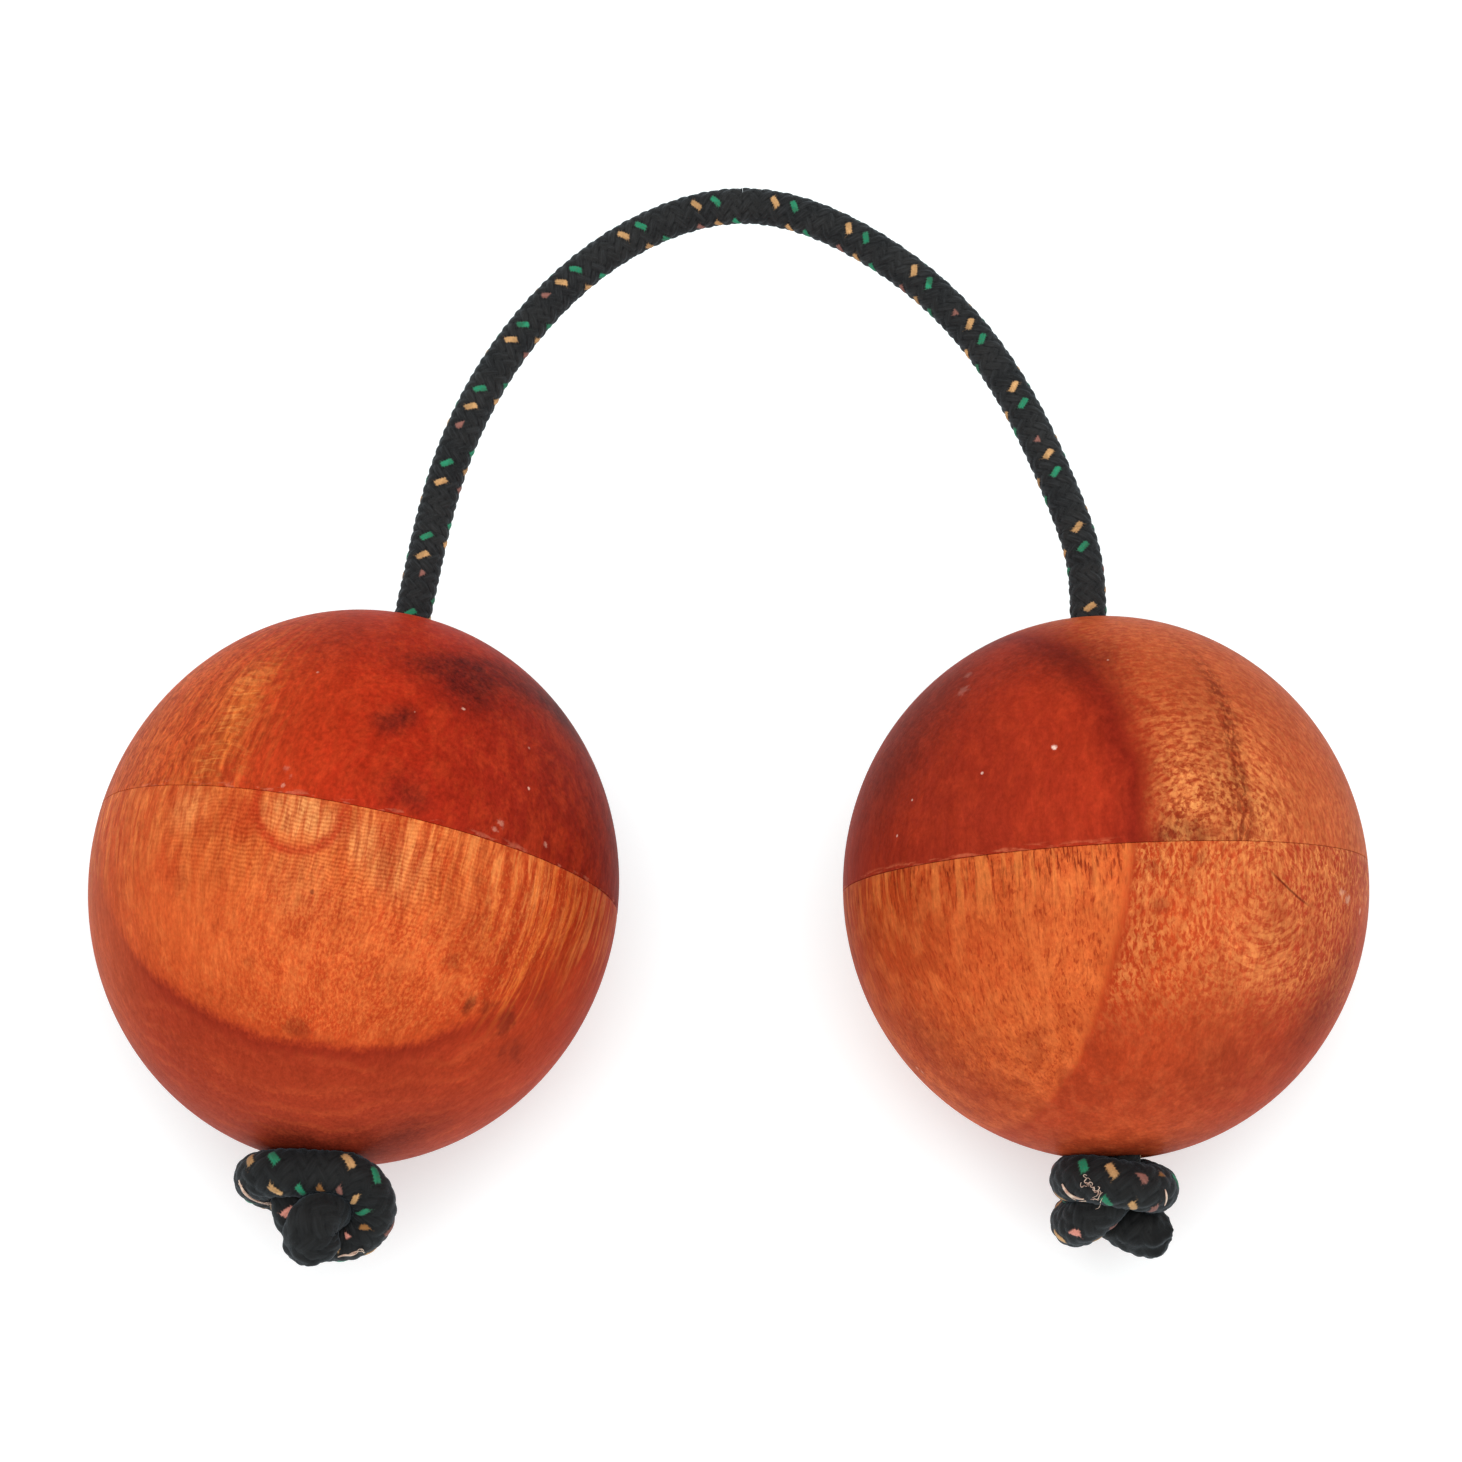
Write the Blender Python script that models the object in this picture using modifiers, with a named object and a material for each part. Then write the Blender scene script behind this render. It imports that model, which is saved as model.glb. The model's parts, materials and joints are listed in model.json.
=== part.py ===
"""Kashaka: two hollow turned-wood balls with seeds inside, joined by one braided cord.

The pair lies on a table with its cord arched away from the viewer (+Y). Each ball is
two turned halves glued on a stepped seam; the cord runs through a hole along the ball's
turning axis and ends in an overhand knot outside it. Metres, +Z up, the origin on the
table midway between the balls.
"""

import math

import bmesh
import bpy
import numpy as np
from mathutils import Matrix, Vector

MM = 0.001

# ---- driving dimensions (millimetres and degrees) ----
CORD_D = 4.2            # braided cord
KNOT_TUBE_D = 4.0       # cord inside a knot, pressed a little thinner
STRAND_PITCH = 4.7      # centre distance of touching strands as a knot is drawn up
SQUASH = 0.87           # a knot's height once it is pulled against its ball
SEAT_R = 28.6           # curvature of a ball's end
GAP = 0.3               # clearance between neighbouring pieces
HOLE_D = 5.2            # hole for the cord through both ends of a ball
MOUTH_D = 6.2           # softened mouth of that hole
CAVITY_D = 46.8         # rattle chamber, across
STEP_D = 53.6           # diameter of the step in the glued seam
STEP_H = 2.6            # height of that step
SEED_D = 6.2            # rattle seeds, mean diameter
SEEDS_PER_BALL = 12
FACETS = 32             # facets round a turned piece
LATITUDE = 11.25        # degrees of ball profile to a facet
PIVOT_OUT = 6.0         # from the ball's end to the cord's nearer bending point
NECK = 9.0              # between the cord's two bending points

BALLS = {
    # centre_x, equatorial radius, half length on the axis, seam's distance towards the
    # cord arch, axis bearing from +Y towards +X, axis elevation, chamber half length,
    # chamber's shift towards the arch
    "left": dict(x=-42.9, re=30.1, rp=31.8, seam=2.9, bearing=11.0, rise=4.0, chamber=24.6, shift=0.5),
    "right": dict(x=42.65, re=29.9, rp=31.0, seam=1.0, bearing=-3.0, rise=9.0, chamber=23.9, shift=0.5),
}
# the cord's direction between its two bending points, as bearing and elevation
NECK_WAY = {"left": (12.0, 3.0), "right": (-16.0, 4.0)}
# points that the arch passes through, between the two necks
ARCH_ROUTE = [
    (-32.0, 51.5, 34.0),
    (-23.3, 67.4, 34.6),
    (-12.4, 77.4, 34.9),
    (2.0, 81.8, 35.2),
    (16.2, 76.5, 35.5),
    (27.1, 66.7, 35.7),
    (35.9, 51.0, 35.9),
]
ARCH_POINTS = 30
# each knot: turn about the cord's axis, lean seen from above, the way its cut end is pulled
KNOTS = {"left": dict(turn=15.0, lean=10.0, tail=60.0), "right": dict(turn=300.0, lean=0.0, tail=330.0)}


def clear_scene():
    for obj in list(bpy.data.objects):
        bpy.data.objects.remove(obj, do_unlink=True)
    for old in list(bpy.data.collections):
        bpy.data.collections.remove(old)


def material(name, colour, roughness, metallic=0.0):
    mat = bpy.data.materials.new(name)
    mat.use_nodes = True
    shader = mat.node_tree.nodes["Principled BSDF"]
    shader.inputs["Base Color"].default_value = (*colour, 1.0)
    shader.inputs["Roughness"].default_value = roughness
    shader.inputs["Metallic"].default_value = metallic
    mat.diffuse_color = (*colour, 1.0)
    return mat


def way(bearing, rise):
    """Unit vector at a bearing from +Y towards +X, raised above the table."""
    b, r = math.radians(bearing), math.radians(rise)
    return Vector((math.sin(b) * math.cos(r), math.cos(b) * math.cos(r), math.sin(r)))


def axis_frame(along, phase=0.0):
    """Rotation whose Z lies along a direction and whose X points down, turned by phase degrees."""
    z = along.normalized()
    x = (Vector((0, 0, -1)) - z * z.dot(Vector((0, 0, -1)))).normalized()
    y = z.cross(x)
    turn = Matrix((x, y, z)).transposed()
    return turn.to_4x4() @ Matrix.Rotation(math.radians(phase), 4, "Z")


def empty(name, at, collection, parent=None):
    obj = bpy.data.objects.new(name, None)
    obj.empty_display_size = 0.01
    collection.objects.link(obj)
    obj.parent = parent[0] if parent else None
    if parent:
        obj.matrix_parent_inverse = parent[1].inverted()
    obj.matrix_basis = Matrix.Translation(at)
    return obj, Matrix.Translation(at)


def place(obj, matrix, parent, mat, collection):
    collection.objects.link(obj)
    obj.parent = parent[0]
    obj.matrix_parent_inverse = parent[1].inverted()
    obj.matrix_basis = matrix
    obj.data.materials.append(mat)
    return obj


def turned(name, profile, steps, closed):
    """A profile of (radius, height) points, in millimetres, turned about Z."""
    mesh = bpy.data.meshes.new(name)
    edges = [(k, k + 1) for k in range(len(profile) - 1)]
    if closed:
        edges.append((len(profile) - 1, 0))
    mesh.from_pydata([(r * MM, 0.0, h * MM) for r, h in profile], edges, [])
    obj = bpy.data.objects.new(name, mesh)
    screw = obj.modifiers.new("turn", "SCREW")
    screw.axis = "Z"
    screw.steps = screw.render_steps = steps
    screw.use_merge_vertices = True
    screw.merge_threshold = 0.00001
    screw.use_smooth_shade = True
    return obj


def tube(name, points, diameter, resolution=2):
    """A cord along points, in metres."""
    curve = bpy.data.curves.new(name, "CURVE")
    curve.dimensions = "3D"
    curve.bevel_depth = diameter / 2 * MM
    curve.bevel_resolution = resolution
    curve.use_fill_caps = True
    curve.twist_mode = "MINIMUM"
    spline = curve.splines.new("POLY")
    spline.points.add(len(points) - 1)
    for point, at in zip(spline.points, points):
        point.co = (*at, 1.0)
    return bpy.data.objects.new(name, curve)


def smooth_line(points, count, first, last):
    """Evenly spaced points on a smooth curve through the given ones, with its end tangents."""
    p = np.array([tuple(q) for q in points])
    chord = np.linalg.norm(np.diff(p, axis=0), axis=1)
    knots = np.concatenate([[0.0], np.cumsum(chord)])
    n = len(p)
    # natural tangents of a cubic spline with its ends clamped
    a = np.zeros((n, n))
    b = np.zeros((n, 3))
    a[0, 0] = a[-1, -1] = 1.0
    b[0], b[-1] = np.array(first), np.array(last)
    for k in range(1, n - 1):
        h0, h1 = chord[k - 1], chord[k]
        a[k, k - 1 : k + 2] = h1, 2 * (h0 + h1), h0
        b[k] = 3 * (h1 * (p[k] - p[k - 1]) / h0 + h0 * (p[k + 1] - p[k]) / h1)
    m = np.linalg.solve(a, b)
    fine = []
    for k in range(n - 1):
        h = chord[k]
        for s in np.linspace(0, 1, 60, endpoint=False):
            fine.append(
                (2 * s**3 - 3 * s**2 + 1) * p[k]
                + (s**3 - 2 * s**2 + s) * h * m[k]
                + (3 * s**2 - 2 * s**3) * p[k + 1]
                + (s**3 - s**2) * h * m[k + 1]
            )
    fine.append(p[-1])
    fine = np.array(fine)
    run = np.concatenate([[0.0], np.cumsum(np.linalg.norm(np.diff(fine, axis=0), axis=1))])
    at = np.linspace(0, run[-1], count)
    return np.stack([np.interp(at, run, fine[:, k]) for k in range(3)], 1)


def overhand(pitch, tail_deg):
    """Centreline of an overhand knot, drawn up tight and then pulled down on a ball.

    It starts as the curve (t3 - 3t, t4 - 4t2, t5 - 10t), an overhand knot on a line, and
    its ends are pulled apart until the strands touch. The cord comes up the Z axis out
    of the ball, the cut end is pulled to one side, and at last the ball is raised under
    the knot until the cord through it is taut. Z = 0 is the ball's end. Returns the
    points and the number of those that belong to the cord before the first turn.
    """
    n, share = 104, 0.27
    t = np.linspace(-2.12, 2.12, 900)
    q = np.stack([t**3 - 3 * t, t**4 - 4 * t**2, 0.35 * (t**5 - 10 * t)], 1)
    run = np.concatenate([[0.0], np.cumsum(np.linalg.norm(np.diff(q, axis=0), axis=1))])
    at = np.linspace(0, run[-1], n)
    step = share * pitch
    q = np.stack([np.interp(at, run, q[:, k]) for k in range(3)], 1) * (step * (n - 1) / run[-1])
    i, j = np.triu_indices(n, math.ceil(1.7 / share))
    side = math.radians(tail_deg)
    pull = np.array([math.cos(side), math.sin(side), 0.2])
    pull /= np.linalg.norm(pull)
    clear = SEAT_R + pitch / 2 + 0.2

    def settle(bend, ball=None, neck=0):
        q[1:-1] += bend * ((q[:-2] + q[2:]) / 2 - q[1:-1])
        v = q[j] - q[i]
        w = np.linalg.norm(v, axis=1)
        hit = w < pitch
        push = ((pitch - w[hit]) / w[hit] * 0.5)[:, None] * v[hit]
        move, weight = np.zeros_like(q), np.ones(n)
        np.add.at(move, i[hit], -push)
        np.add.at(move, j[hit], push)
        np.add.at(weight, i[hit], 0.6)
        np.add.at(weight, j[hit], 0.6)
        q[:] += move / weight[:, None]
        if ball is not None:
            middle = np.array([0.0, 0.0, ball - SEAT_R])
            out = q - middle
            apart = np.linalg.norm(out, axis=1)
            turns = np.arange(n) >= neck
            inside = apart < clear
            q[inside & turns] = middle + out[inside & turns] * (clear / apart[inside & turns])[:, None]
            q[inside & ~turns, :2] *= 0.8
        for first in (0, 1):
            k = np.arange(first, n - 1, 2)
            v = q[k + 1] - q[k]
            w = np.linalg.norm(v, axis=1)
            even = ((w - step) / w * 0.5)[:, None] * v
            q[k] += even
            q[k + 1] -= even

    def touching():
        apart = np.linalg.norm(q[:, None] - q[None], axis=2)
        far = np.abs(np.subtract.outer(np.arange(n), np.arange(n))) >= 7
        return np.where(((apart < 1.12 * pitch) & far).any(1))[0]

    def stretch(end):
        return np.linalg.norm(np.diff(q[:end], axis=0), axis=1).mean() / step - 1

    for turn in range(900):
        go = 0.03 * pitch * (turn > 40)
        q[0] += (-0.05 * q[0, 0], -0.05 * q[0, 1], -go)
        q[-1] += go * pull
        for _ in range(8):
            settle(0.22)
        if turn > 100 and stretch(n) > 0.008:
            break
    for _ in range(20):
        q[0, 2] += 0.015 * pitch
        q[-1] -= 0.015 * pitch * pull
        for _ in range(8):
            settle(0.5)
    first = touching()[0]
    neck = first + 4
    q[:, :2] -= q[first - 1, :2]
    ball = q[neck:, 2].min() - pitch / 2 - 2.0
    for _ in range(200):
        ball += 0.03 * pitch
        q[0, :2] *= 0.9
        hold = q[0].copy()
        for _ in range(8):
            settle(0.2, ball, neck)
            q[0] = hold
        if stretch(first + 6) > 0.015:
            break
    for _ in range(40):
        hold = q[0].copy()
        settle(0.05, ball, neck)
        q[0] = hold
    touch = touching()
    q[:, 2] -= ball
    return q[: touch[-1] + 3], touch[0] + 4


def knot_line(name, b, centre, axis, leg_end):
    """The knot's cord, from the end of the leg in the ball's hole to the cut end."""
    line, neck = overhand(STRAND_PITCH, KNOTS[name]["tail"])
    out = (-axis).normalized()
    across = Vector((0, 0, 1)).cross(out).normalized()
    turn = Matrix((across, out.cross(across), out)).transposed().to_4x4()
    turn = turn @ Matrix.Rotation(math.radians(KNOTS[name]["turn"]), 4, "Z")
    turn = Matrix.Rotation(math.radians(KNOTS[name]["lean"]), 4, "Z") @ turn
    end = centre + out * b["rp"]
    line = [end + turn @ Vector((x, y, z * SQUASH)) for x, y, z in line]
    # slid along the axis until its nearest turn lies a clearance off the ball
    room = KNOT_TUBE_D / 2 + GAP

    def off_ball(slide):
        depths = []
        for p in line[neck:]:
            q = p + out * slide - centre
            t = q.dot(axis)
            depths.append(math.hypot(t / (b["rp"] + room), (q - axis * t).length / (b["re"] + room)))
        return min(depths)

    low, high = -8.0, 8.0
    for _ in range(40):
        middle = (low + high) / 2
        low, high = (low, middle) if off_ball(middle) > 1 else (middle, high)
    start = centre + axis * (leg_end - GAP)
    line = [p + out * high for p in line]
    # it leaves the leg square to its flat end before it turns into the knot
    return [start, start + out * 0.8] + [p for k, p in enumerate(line) if (p - start).dot(out) > 2.0 or k >= neck]


def ball_profiles(b):
    """The two halves' cross-sections as closed (radius, height) loops about the ball's centre."""
    re, rp, seam = b["re"], b["rp"], b["seam"]
    hole, mouth, step = HOLE_D / 2, MOUTH_D / 2, STEP_D / 2
    rc, hc, zc = CAVITY_D / 2, b["chamber"], b["shift"]
    # the facet that the ball lies on is centred where its surface faces the table
    rest = -math.degrees(math.atan(math.tan(math.radians(b["rise"])) * rp / re))
    top = math.degrees(math.acos(mouth / re))
    lat = [rest + (k + 0.5) * LATITUDE for k in range(-10, 11)]

    def outer(angle):
        a = math.radians(angle)
        return re * math.cos(a), rp * math.sin(a)

    def chamber(angle):
        a = math.radians(angle)
        return rc * math.cos(a), zc + hc * math.sin(a)

    def outer_at(h):
        return re * math.sqrt(1 - (h / rp) ** 2), h

    def chamber_at(h):
        return rc * math.sqrt(1 - ((h - zc) / hc) ** 2), h

    end = math.degrees(math.acos(hole / rc))
    up, down = seam + GAP / 2, seam - GAP / 2
    seam_lat = math.degrees(math.asin(seam / rp))
    keep = LATITUDE * 0.3
    upper = [outer(top)]
    upper += [outer(a) for a in reversed(lat) if seam_lat + keep < a < top - keep]
    upper += [outer_at(up), (step, up), (step, up + STEP_H), chamber_at(up + STEP_H)]
    first = math.degrees(math.asin((up + STEP_H - zc) / hc))
    turns = max(5, round((end - first) / 14))
    upper += [chamber(first + (end - first) * k / turns) for k in range(1, turns + 1)]
    upper.append((hole, outer(top)[1] - 0.8))

    lip = up + STEP_H - GAP
    lower = [(step - GAP, lip), (step - GAP, down), outer_at(down)]
    lower += [outer(a) for a in reversed(lat) if -top + keep < a < seam_lat - keep]
    lower += [outer(-top), (hole, outer(-top)[1] + 0.8)]
    last = math.degrees(math.asin((lip - zc) / hc))
    turns = max(6, round((last + end) / 14))
    lower += [chamber(-end + (last + end) * k / turns) for k in range(turns)]
    lower.append(chamber_at(lip))
    return upper, lower


def seeds(name, b, frame, parent, mats, collection):
    """Seeds lying together on the bottom of the chamber, each a slightly flattened bean."""
    rng = np.random.default_rng(7 if name == "left" else 11)
    away = CAVITY_D / 2 - SEED_D / 2 - 1.0
    pitch = math.degrees((SEED_D + 1.0) / away)
    spots = [(0.0, 0.0)]
    ring = 1
    while len(spots) < SEEDS_PER_BALL:
        for k in range(6 * ring):
            spots.append((pitch * ring, 360.0 * k / (6 * ring) + 15 * ring))
        ring += 1
    for k, (tip, turn) in enumerate(spots[:SEEDS_PER_BALL]):
        # X of the ball's frame points down, so a seed starts there and is tipped away
        spin = Matrix.Rotation(math.radians(turn), 4, "X") @ Matrix.Rotation(math.radians(tip), 4, "Y")
        at = spin @ Vector((away, 0, 0)) + Vector((0, 0, b["shift"]))
        size = SEED_D / 2 * rng.uniform(0.93, 1.0)
        shape = Matrix.Diagonal((0.86 * size, size, 1.06 * size, 1.0))
        mesh = bpy.data.meshes.new(f"{name}_seed_{k + 1:02d}")
        bm = bmesh.new()
        bmesh.ops.create_uvsphere(bm, u_segments=10, v_segments=6, radius=MM)
        bmesh.ops.transform(bm, matrix=shape, verts=bm.verts)
        bm.to_mesh(mesh)
        bm.free()
        mesh.shade_smooth()
        obj = bpy.data.objects.new(mesh.name, mesh)
        roll = Matrix.Rotation(rng.uniform(0, math.pi), 4, "X")
        place(obj, frame @ Matrix.Translation(at * MM) @ spin @ roll, parent, mats["seed"], collection)


def rounded_end(length_to_centre, diameter, flat_at):
    """Profile of a cord end: a half ball about the bending point, then straight to a flat end."""
    r = diameter / 2
    arc = [
        (r * math.cos(a), length_to_centre + r * math.sin(a))
        for a in (math.radians(90 - 15 * k) for k in range(7))
    ]
    arc[0] = (0.0, arc[0][1])
    return arc + [(r, flat_at), (0.0, flat_at)]


def main():
    clear_scene()
    collection = bpy.data.collections.new("kashaka")
    bpy.context.scene.collection.children.link(collection)
    mats = {
        "left_shell_upper": material("red_wood_dark", (0.33, 0.075, 0.025), 0.42),
        "left_shell_lower": material("red_wood_golden", (0.47, 0.15, 0.045), 0.42),
        "right_shell_upper": material("red_wood_brick", (0.36, 0.09, 0.03), 0.42),
        "right_shell_lower": material("red_wood_orange", (0.45, 0.14, 0.042), 0.42),
        "seed": material("seed_tan", (0.36, 0.22, 0.1), 0.6),
        "arch": material("braided_cord", (0.012, 0.014, 0.015), 0.8),
        "knot": material("braided_cord_knot", (0.014, 0.015, 0.017), 0.8),
        "leg": material("braided_cord_inside", (0.012, 0.013, 0.014), 0.8),
    }
    root = empty("kashaka_root", Vector((0, 0, 0)), collection)
    ends = {}
    for name, b in BALLS.items():
        axis = way(b["bearing"], b["rise"])
        # half a facet of turn puts the middle of a facet underneath
        frame = axis_frame(axis, 180.0 / FACETS)
        upper, lower = ball_profiles(b)
        lowest = max(
            -(frame @ Vector((r * math.cos(s), r * math.sin(s), h))).z
            for r, h in upper + lower
            for s in (2 * math.pi * k / FACETS for k in range(FACETS))
        )
        centre = Vector((b["x"], 0.0, lowest))
        near = centre + axis * (b["rp"] + PIVOT_OUT)
        neck_way = way(*NECK_WAY[name])
        far = near + neck_way * NECK
        ends[name] = far, neck_way

        swing = empty(f"{name}_swing_pivot", far * MM, collection, root)
        lift = empty(f"{name}_lift_pivot", near * MM, collection, swing)
        spin = empty(f"{name}_spin_axis", centre * MM, collection, lift)
        rattle = empty(f"{name}_rattle_axis", centre * MM, collection, spin)

        at = Matrix.Translation(centre * MM) @ frame
        for half, profile in (("upper", upper), ("lower", lower)):
            node = f"{name}_shell_{half}"
            place(turned(node, profile, FACETS, True), at, spin, mats[node], collection)
        seeds(name, b, at, rattle, mats, collection)

        # the cord: a neck between the bending points, a leg through the ball, and the knot
        flat = CORD_D / 2 + GAP
        profile = rounded_end(NECK, CORD_D, flat)
        neck = turned(f"{name}_cord_neck", profile, 16, False)
        place(neck, Matrix.Translation(near * MM) @ axis_frame(neck_way), swing, mats["leg"], collection)
        leg_end = -b["rp"] + 0.6
        profile = rounded_end(b["rp"] + PIVOT_OUT, CORD_D, leg_end)
        leg = turned(f"{name}_cord_leg", profile, 16, False)
        place(leg, Matrix.Translation(centre * MM) @ axis_frame(axis), lift, mats["leg"], collection)
        cord = tube(f"{name}_knot", [p * MM for p in knot_line(name, b, centre, axis, leg_end)], KNOT_TUBE_D)
        place(cord, Matrix.Identity(4), lift, mats["knot"], collection)

    # the arch begins and ends a clearance beyond each bending point
    (a, go), (c, back) = ends["left"], ends["right"]
    start, end = a + go * (CORD_D / 2 + GAP), c + back * (CORD_D / 2 + GAP)
    line = smooth_line([start, *ARCH_ROUTE, end], ARCH_POINTS, tuple(go), tuple(-back))
    arch = tube("cord_arch", [Vector(p) * MM for p in line], CORD_D)
    place(arch, Matrix.Identity(4), root, mats["arch"], collection)


main()
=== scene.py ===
import json
import math
import random

import bmesh
import bpy
import numpy as np
from mathutils import Matrix, Vector, noise
from mathutils.bvhtree import BVHTree

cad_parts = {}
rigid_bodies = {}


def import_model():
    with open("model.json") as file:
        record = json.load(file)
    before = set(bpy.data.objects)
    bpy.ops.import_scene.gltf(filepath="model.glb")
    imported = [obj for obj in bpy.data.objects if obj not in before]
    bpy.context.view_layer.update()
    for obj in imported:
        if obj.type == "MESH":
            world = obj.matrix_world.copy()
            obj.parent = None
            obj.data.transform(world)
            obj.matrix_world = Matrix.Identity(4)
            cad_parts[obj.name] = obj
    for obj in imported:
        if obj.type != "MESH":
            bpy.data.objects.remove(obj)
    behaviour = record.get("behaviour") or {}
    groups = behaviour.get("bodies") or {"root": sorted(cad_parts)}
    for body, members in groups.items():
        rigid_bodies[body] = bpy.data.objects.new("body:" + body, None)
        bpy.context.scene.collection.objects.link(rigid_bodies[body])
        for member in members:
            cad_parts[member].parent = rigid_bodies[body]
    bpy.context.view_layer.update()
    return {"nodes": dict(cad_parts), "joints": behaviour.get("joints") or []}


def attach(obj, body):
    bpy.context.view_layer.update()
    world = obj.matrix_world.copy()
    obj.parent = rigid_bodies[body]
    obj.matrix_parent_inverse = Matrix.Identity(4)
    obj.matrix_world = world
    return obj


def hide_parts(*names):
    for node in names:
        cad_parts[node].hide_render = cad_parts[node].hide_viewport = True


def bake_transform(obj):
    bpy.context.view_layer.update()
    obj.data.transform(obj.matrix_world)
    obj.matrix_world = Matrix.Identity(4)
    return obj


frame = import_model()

# ---------------------------------------------------------------------------
# Dimensions, in millimetres: the same as the frame's own
# ---------------------------------------------------------------------------
MM = 0.001
CORD_D = 4.2
KNOT_D = 4.0
STRAND_PITCH = 4.7
SQUASH = 0.87
SEAT_R = 28.6
GAP = 0.3
HOLE_D = 5.2
MOUTH_D = 6.2
CAVITY_D = 46.8
STEP_D = 53.6
STEP_H = 2.6
BALLS = {
    "left": dict(re=30.1, rp=31.8, seam=2.9, chamber=24.6, shift=0.5),
    "right": dict(re=29.9, rp=31.0, seam=1.0, chamber=23.9, shift=0.5),
}
ARCH_ROUTE = [
    (-32.0, 51.5, 34.0),
    (-23.3, 67.4, 34.6),
    (-12.4, 77.4, 34.9),
    (2.0, 81.8, 35.2),
    (16.2, 76.5, 35.5),
    (27.1, 66.7, 35.7),
    (35.6, 52.0, 35.9),
]
KNOTS = {"left": dict(turn=15.0, lean=10.0, tail=60.0), "right": dict(turn=300.0, lean=0.0, tail=330.0)}

# places and axes come from the frame's joints
joints = {j["name"]: j for j in frame["joints"]}
for name, b in BALLS.items():
    spin = joints[f"{name}_spin"]
    b["centre"] = np.array(spin["pos_m"]) * 1000
    b["axis"] = np.array(spin["axis"]) / np.linalg.norm(spin["axis"])
    b["near"] = np.array(joints[f"{name}_lift"]["pos_m"]) * 1000
    b["far"] = np.array(joints[f"{name}_swing"]["pos_m"]) * 1000


def clear_default():
    for obj in list(bpy.data.objects):
        if obj.type in {"CAMERA", "LIGHT"}:
            bpy.data.objects.remove(obj, do_unlink=True)


clear_default()
scene = bpy.context.scene
scene.view_settings.view_transform = "Standard"
scene.view_settings.look = "None"

# ---------------------------------------------------------------------------
# Camera: high in front, as the photograph looks down on the pair
# ---------------------------------------------------------------------------
FRAME_PX = 1462
LOOK = math.radians(72.0)
AWAY = 650.0
TARGET = np.array([0.0, 18.64, 30.0])
TOWARDS = np.array([0.0, -math.cos(LOOK), math.sin(LOOK)])
UPWARDS = np.array([0.0, math.sin(LOOK), math.cos(LOOK)])
EYE = TARGET + AWAY * TOWARDS
FOCAL_PX = 8.78 * (AWAY - 5.76)

cam_data = bpy.data.cameras.new("camera")
cam_data.sensor_width = 36.0
cam_data.lens = 36.0 * FOCAL_PX / FRAME_PX
cam_data.clip_start, cam_data.clip_end = 0.05, 20.0
camera = bpy.data.objects.new("camera", cam_data)
scene.collection.objects.link(camera)
camera.matrix_world = Matrix.Translation(Vector(EYE * MM)) @ Matrix(
    ((1.0, 0.0, 0.0), UPWARDS, TOWARDS)
).transposed().to_4x4()
scene.camera = camera


def axis_frame(along):
    """Rotation whose Z lies along a direction and whose X points down."""
    z = Vector(along).normalized()
    x = (Vector((0, 0, -1)) - z * z.dot(Vector((0, 0, -1)))).normalized()
    return Matrix((x, z.cross(x), z)).transposed()


def seen_at(ball, px, py):
    """Point on a ball under a pixel of the picture, in the ball's own frame, in units of 30 mm."""
    b = BALLS[ball]
    ray = np.array([(px - FRAME_PX / 2) / FOCAL_PX, 0, 0]) - UPWARDS * (py - FRAME_PX / 2) / FOCAL_PX - TOWARDS
    turn = np.array(axis_frame(b["axis"]))
    size = np.array([b["re"], b["re"], b["rp"]])
    o, d = (turn.T @ (EYE - b["centre"])) / size, (turn.T @ ray) / size
    aa, bb, cc = d @ d, o @ d, o @ o - 1
    disc = max(bb * bb - aa * cc, 0.0)
    return (o + d * (-bb - math.sqrt(disc)) / aa) * size / 30.0


# ---------------------------------------------------------------------------
# The cord's line, from the left cut end to the right one
# ---------------------------------------------------------------------------
def spline(points, first=None, last=None, fine=24):
    """Dense points on a cubic spline through the given ones, by chord length."""
    p = np.asarray(points, float)
    h = np.linalg.norm(np.diff(p, axis=0), axis=1)
    n = len(p)
    a, b = np.zeros((n, n)), np.zeros((n, 3))
    if first is None:
        a[0, :2], b[0] = (2, 1), 3 * (p[1] - p[0]) / h[0]
    else:
        a[0, 0], b[0] = 1, first
    if last is None:
        a[-1, -2:], b[-1] = (1, 2), 3 * (p[-1] - p[-2]) / h[-1]
    else:
        a[-1, -1], b[-1] = 1, last
    for k in range(1, n - 1):
        a[k, k - 1 : k + 2] = h[k], 2 * (h[k - 1] + h[k]), h[k - 1]
        b[k] = 3 * (h[k] * (p[k] - p[k - 1]) / h[k - 1] + h[k - 1] * (p[k + 1] - p[k]) / h[k])
    m = np.linalg.solve(a, b)
    t = np.linspace(0, 1, fine, endpoint=False)[:, None]
    out = []
    for k in range(n - 1):
        out.append(
            (2 * t**3 - 3 * t**2 + 1) * p[k]
            + (t**3 - 2 * t**2 + t) * h[k] * m[k]
            + (3 * t**2 - 2 * t**3) * p[k + 1]
            + (t**3 - t**2) * h[k] * m[k + 1]
        )
    return np.vstack(out + [p[-1:]])


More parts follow.
